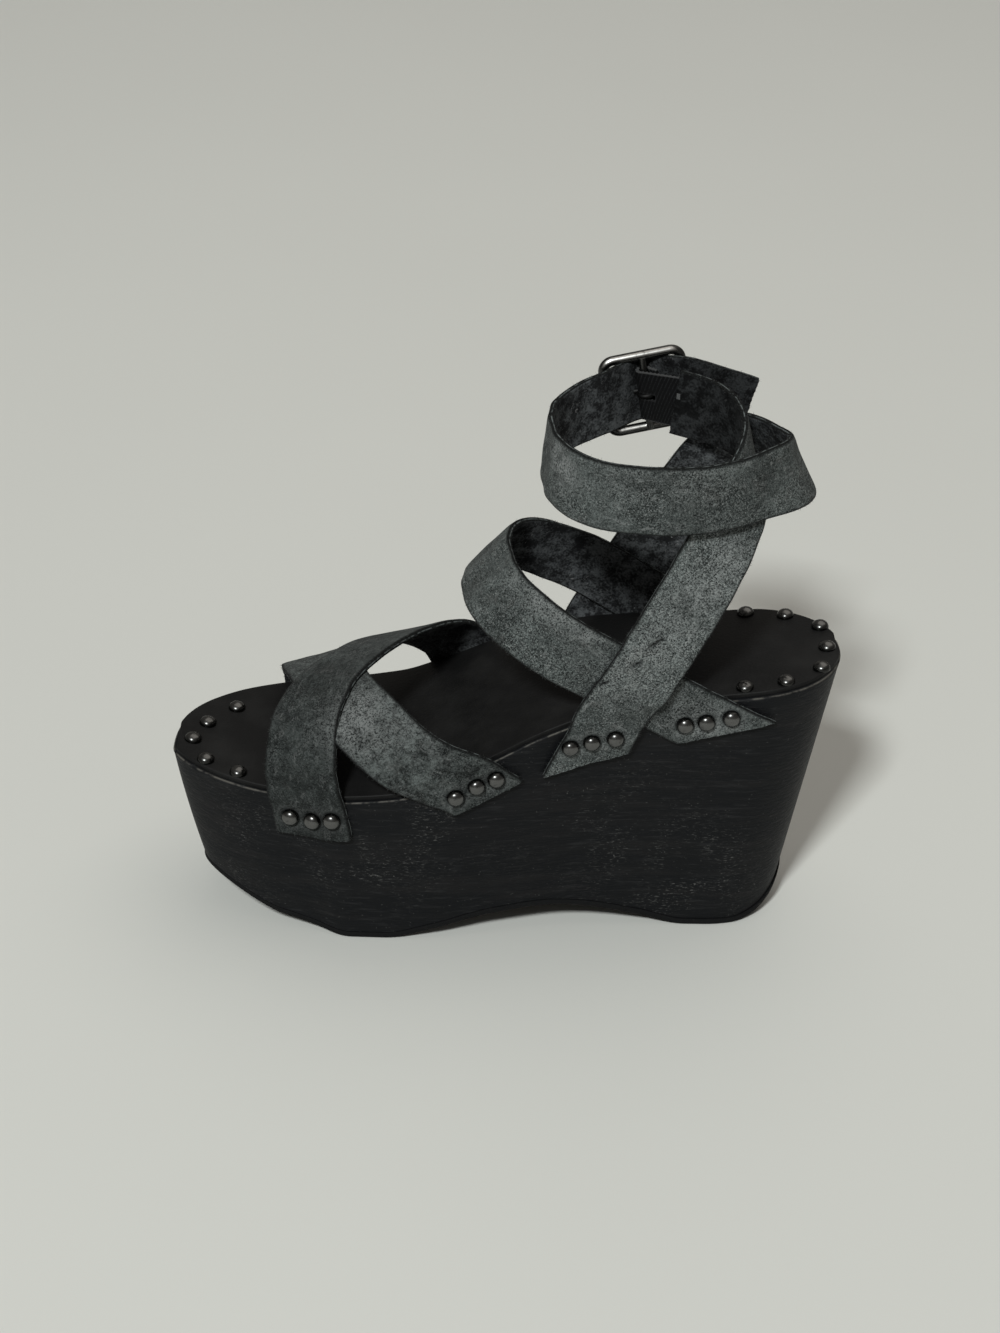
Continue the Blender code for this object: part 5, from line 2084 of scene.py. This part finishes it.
        for (ring, near), (ahead, ahead_near) in zip(rings, rings[1:]):
            open_slot = near and ahead_near
            for k in range(across - 1):
                middle = levels[k] == -slot
                if not (open_slot and middle):
                    shape.faces.new((ring[k], ring[k + 1], ahead[k + 1], ahead[k]))
                    shape.faces.new((ring[across + k + 1], ring[across + k], ahead[across + k],
                                     ahead[across + k + 1]))
                else:
                    for edge in (k, k + 1):
                        shape.faces.new((ring[edge], ahead[edge], ahead[across + edge], ring[across + edge]))
            for edge in (0, across - 1):
                shape.faces.new((ring[edge], ahead[edge], ahead[across + edge], ring[across + edge]))
        for (ring, near), (_, other) in zip(rings, rings[1:]):
            if near != other:
                source = ring if near else rings[rings.index((ring, near)) + 1][0]
                k = levels.index(-slot)
                shape.faces.new((source[k], source[k + 1], source[across + k + 1], source[across + k]))
        for ring in (rings[0][0], rings[-1][0]):
            for k in range(across - 1):
                shape.faces.new((ring[k], ring[k + 1], ring[across + k + 1], ring[across + k]))
        bmesh.ops.recalc_face_normals(shape, faces=shape.faces)
        mesh = bpy.data.meshes.new("elastic_ribbon")
        shape.to_mesh(mesh)
        shape.free()
        made = self.rib_tree(webbing).run(mesh)
        finish_piece("elastic_ribbon", made, ("elastic_gore",), smooth_angle=60.0)

    def build_stitches(self, rows: Table, thread: Material) -> None:
        """Sew the elastic into the strap's end with bar tacks.

        Args:
            rows: Last rows of the inner ankle strap.
            thread: Finish of the thread.
        """
        start, finish = (Vector(row[:3]) - facing_normal(*row[3:]) * self.tack_sink for row in rows)
        points = []
        for up in self.tacks:
            points += [start.lerp(finish, share) + Vector((0.0, 0.0, up)) for share in self.tack_shares]
        bench = TreeBench("seam_stitches")
        length = bench.size("Stitch length", self.tack_length * MM)
        radius = bench.size("Thread radius", self.thread_radius * MM)
        material = bench.size("Thread", thread, "NodeSocketMaterial")
        stitch = bench.step("GeometryNodeMeshCylinder", {"Vertices": 8, "Radius": radius, "Depth": length},
                            "Mesh", fill_type="NGON")
        feeds = {"Points": bench.source.outputs["Geometry"], "Instance": stitch}
        bench.finish(bench.step("GeometryNodeInstanceOnPoints", feeds, "Instances"), material)
        mesh = bpy.data.meshes.new("stitch_places")
        mesh.from_pydata([to_metres(point) for point in points], [], [])
        finish_piece("seam_stitches", bench.run(mesh))

    def build(self, rows: Table) -> None:
        """Make the buckle and its elastic.

        Args:
            rows: Last rows of the inner ankle strap.
        """
        # the frame's crest is painted almost white as a painted highlight
        frame = Gunmetal("buckle_metal", metal=(0.085, 0.085, 0.083), tarnish=(0.045, 0.045, 0.044),
                         haze=0.26, painted_highlight=(0.80, 0.79, 0.77))
        prong = Gunmetal("blackened_metal", metal=(0.02, 0.02, 0.02), tarnish=(0.01, 0.01, 0.01),
                         haze=0.55, painted_highlight=(0.03, 0.03, 0.03))
        self.build_frame(frame.material())
        self.build_prong(prong.material())
        self.build_elastic(rows, Webbing().material())
        self.build_stitches(rows, Thread().material())


@dataclass(frozen=True)
class SoftLight:
    """Soft square light: place, aim and side in metres, power in watts, and tint."""

    name: str
    place: Row
    aim: Row
    size: float
    power: float
    colour: Colour


@dataclass
class Studio:
    """Pale floor, soft light and the camera."""

    camera_place: Row = (-28.0, -857.84, 612.0)
    camera_turn: Row = (58.911, -2.472, -0.2095)
    lens: float = 72.65
    sensor: float = 36.0
    floor_size: float = 8.0
    sky: Colour = (1.0, 0.955, 0.88)
    sky_strength: float = 0.15
    lights: tuple[SoftLight, ...] = (
        SoftLight("key", (-1.17, -3.36, 3.6), (0.0, 0.0, 0.08), 0.6, 190.0, (0.965, 1.0, 0.98)),
        SoftLight("ceiling", (0.5, 0.7, 2.2), (0.0, 0.0, 0.0), 2.4, 14.5, (1.0, 0.955, 0.88)))

    def hang(self, light: SoftLight) -> None:
        """Hang up a light.

        Args:
            light: The light.
        """
        lamp = bpy.data.lights.new(light.name, "AREA")
        lamp.size = light.size
        lamp.energy = light.power
        lamp.color = light.colour
        holder = bpy.data.objects.new(light.name, lamp)
        bpy.context.scene.collection.objects.link(holder)
        holder.location = light.place
        holder.rotation_euler = (Vector(light.aim) - Vector(light.place)).to_track_quat("-Z", "Y").to_euler()

    def build(self) -> None:
        """Set up the floor, the lights, the sky and the camera."""
        scene = bpy.context.scene
        shape = bmesh.new()
        bmesh.ops.create_grid(shape, x_segments=1, y_segments=1, size=self.floor_size / 2)
        mesh = bpy.data.meshes.new("floor")
        shape.to_mesh(mesh)
        shape.free()
        mesh.materials.append(PaleFloor().material())
        floor = bpy.data.objects.new("floor", mesh)
        scene.collection.objects.link(floor)
        for light in self.lights:
            self.hang(light)
        world = bpy.data.worlds.new("studio")
        world.use_nodes = True
        backdrop = world.node_tree.nodes["Background"]
        backdrop.inputs["Color"].default_value = (*self.sky, 1.0)
        backdrop.inputs["Strength"].default_value = self.sky_strength
        scene.world = world
        scene.view_settings.view_transform = "Standard"
        lens = bpy.data.cameras.new("camera")
        lens.lens = self.lens
        lens.sensor_width = self.sensor
        lens.clip_start = 0.05
        holder = bpy.data.objects.new("camera", lens)
        scene.collection.objects.link(holder)
        holder.location = Vector(self.camera_place) * MM
        holder.rotation_euler = Euler([math.radians(angle) for angle in self.camera_turn])
        scene.camera = holder


def main() -> None:
    """Build the sandal's pieces in order."""
    logging.basicConfig(level=logging.INFO, format="%(name)s %(message)s")
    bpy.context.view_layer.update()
    last = Last()
    Studio().build()
    Sole(last).build()
    straps = StrapSet(last)
    seats = straps.stud_seats()
    EdgeFuzz().build(straps.build(seats))
    StudSet(last).build(seats, Gunmetal().material())
    Buckle(last).build(straps.inner_rows[-2:])


if __name__ == "__main__":
    main()
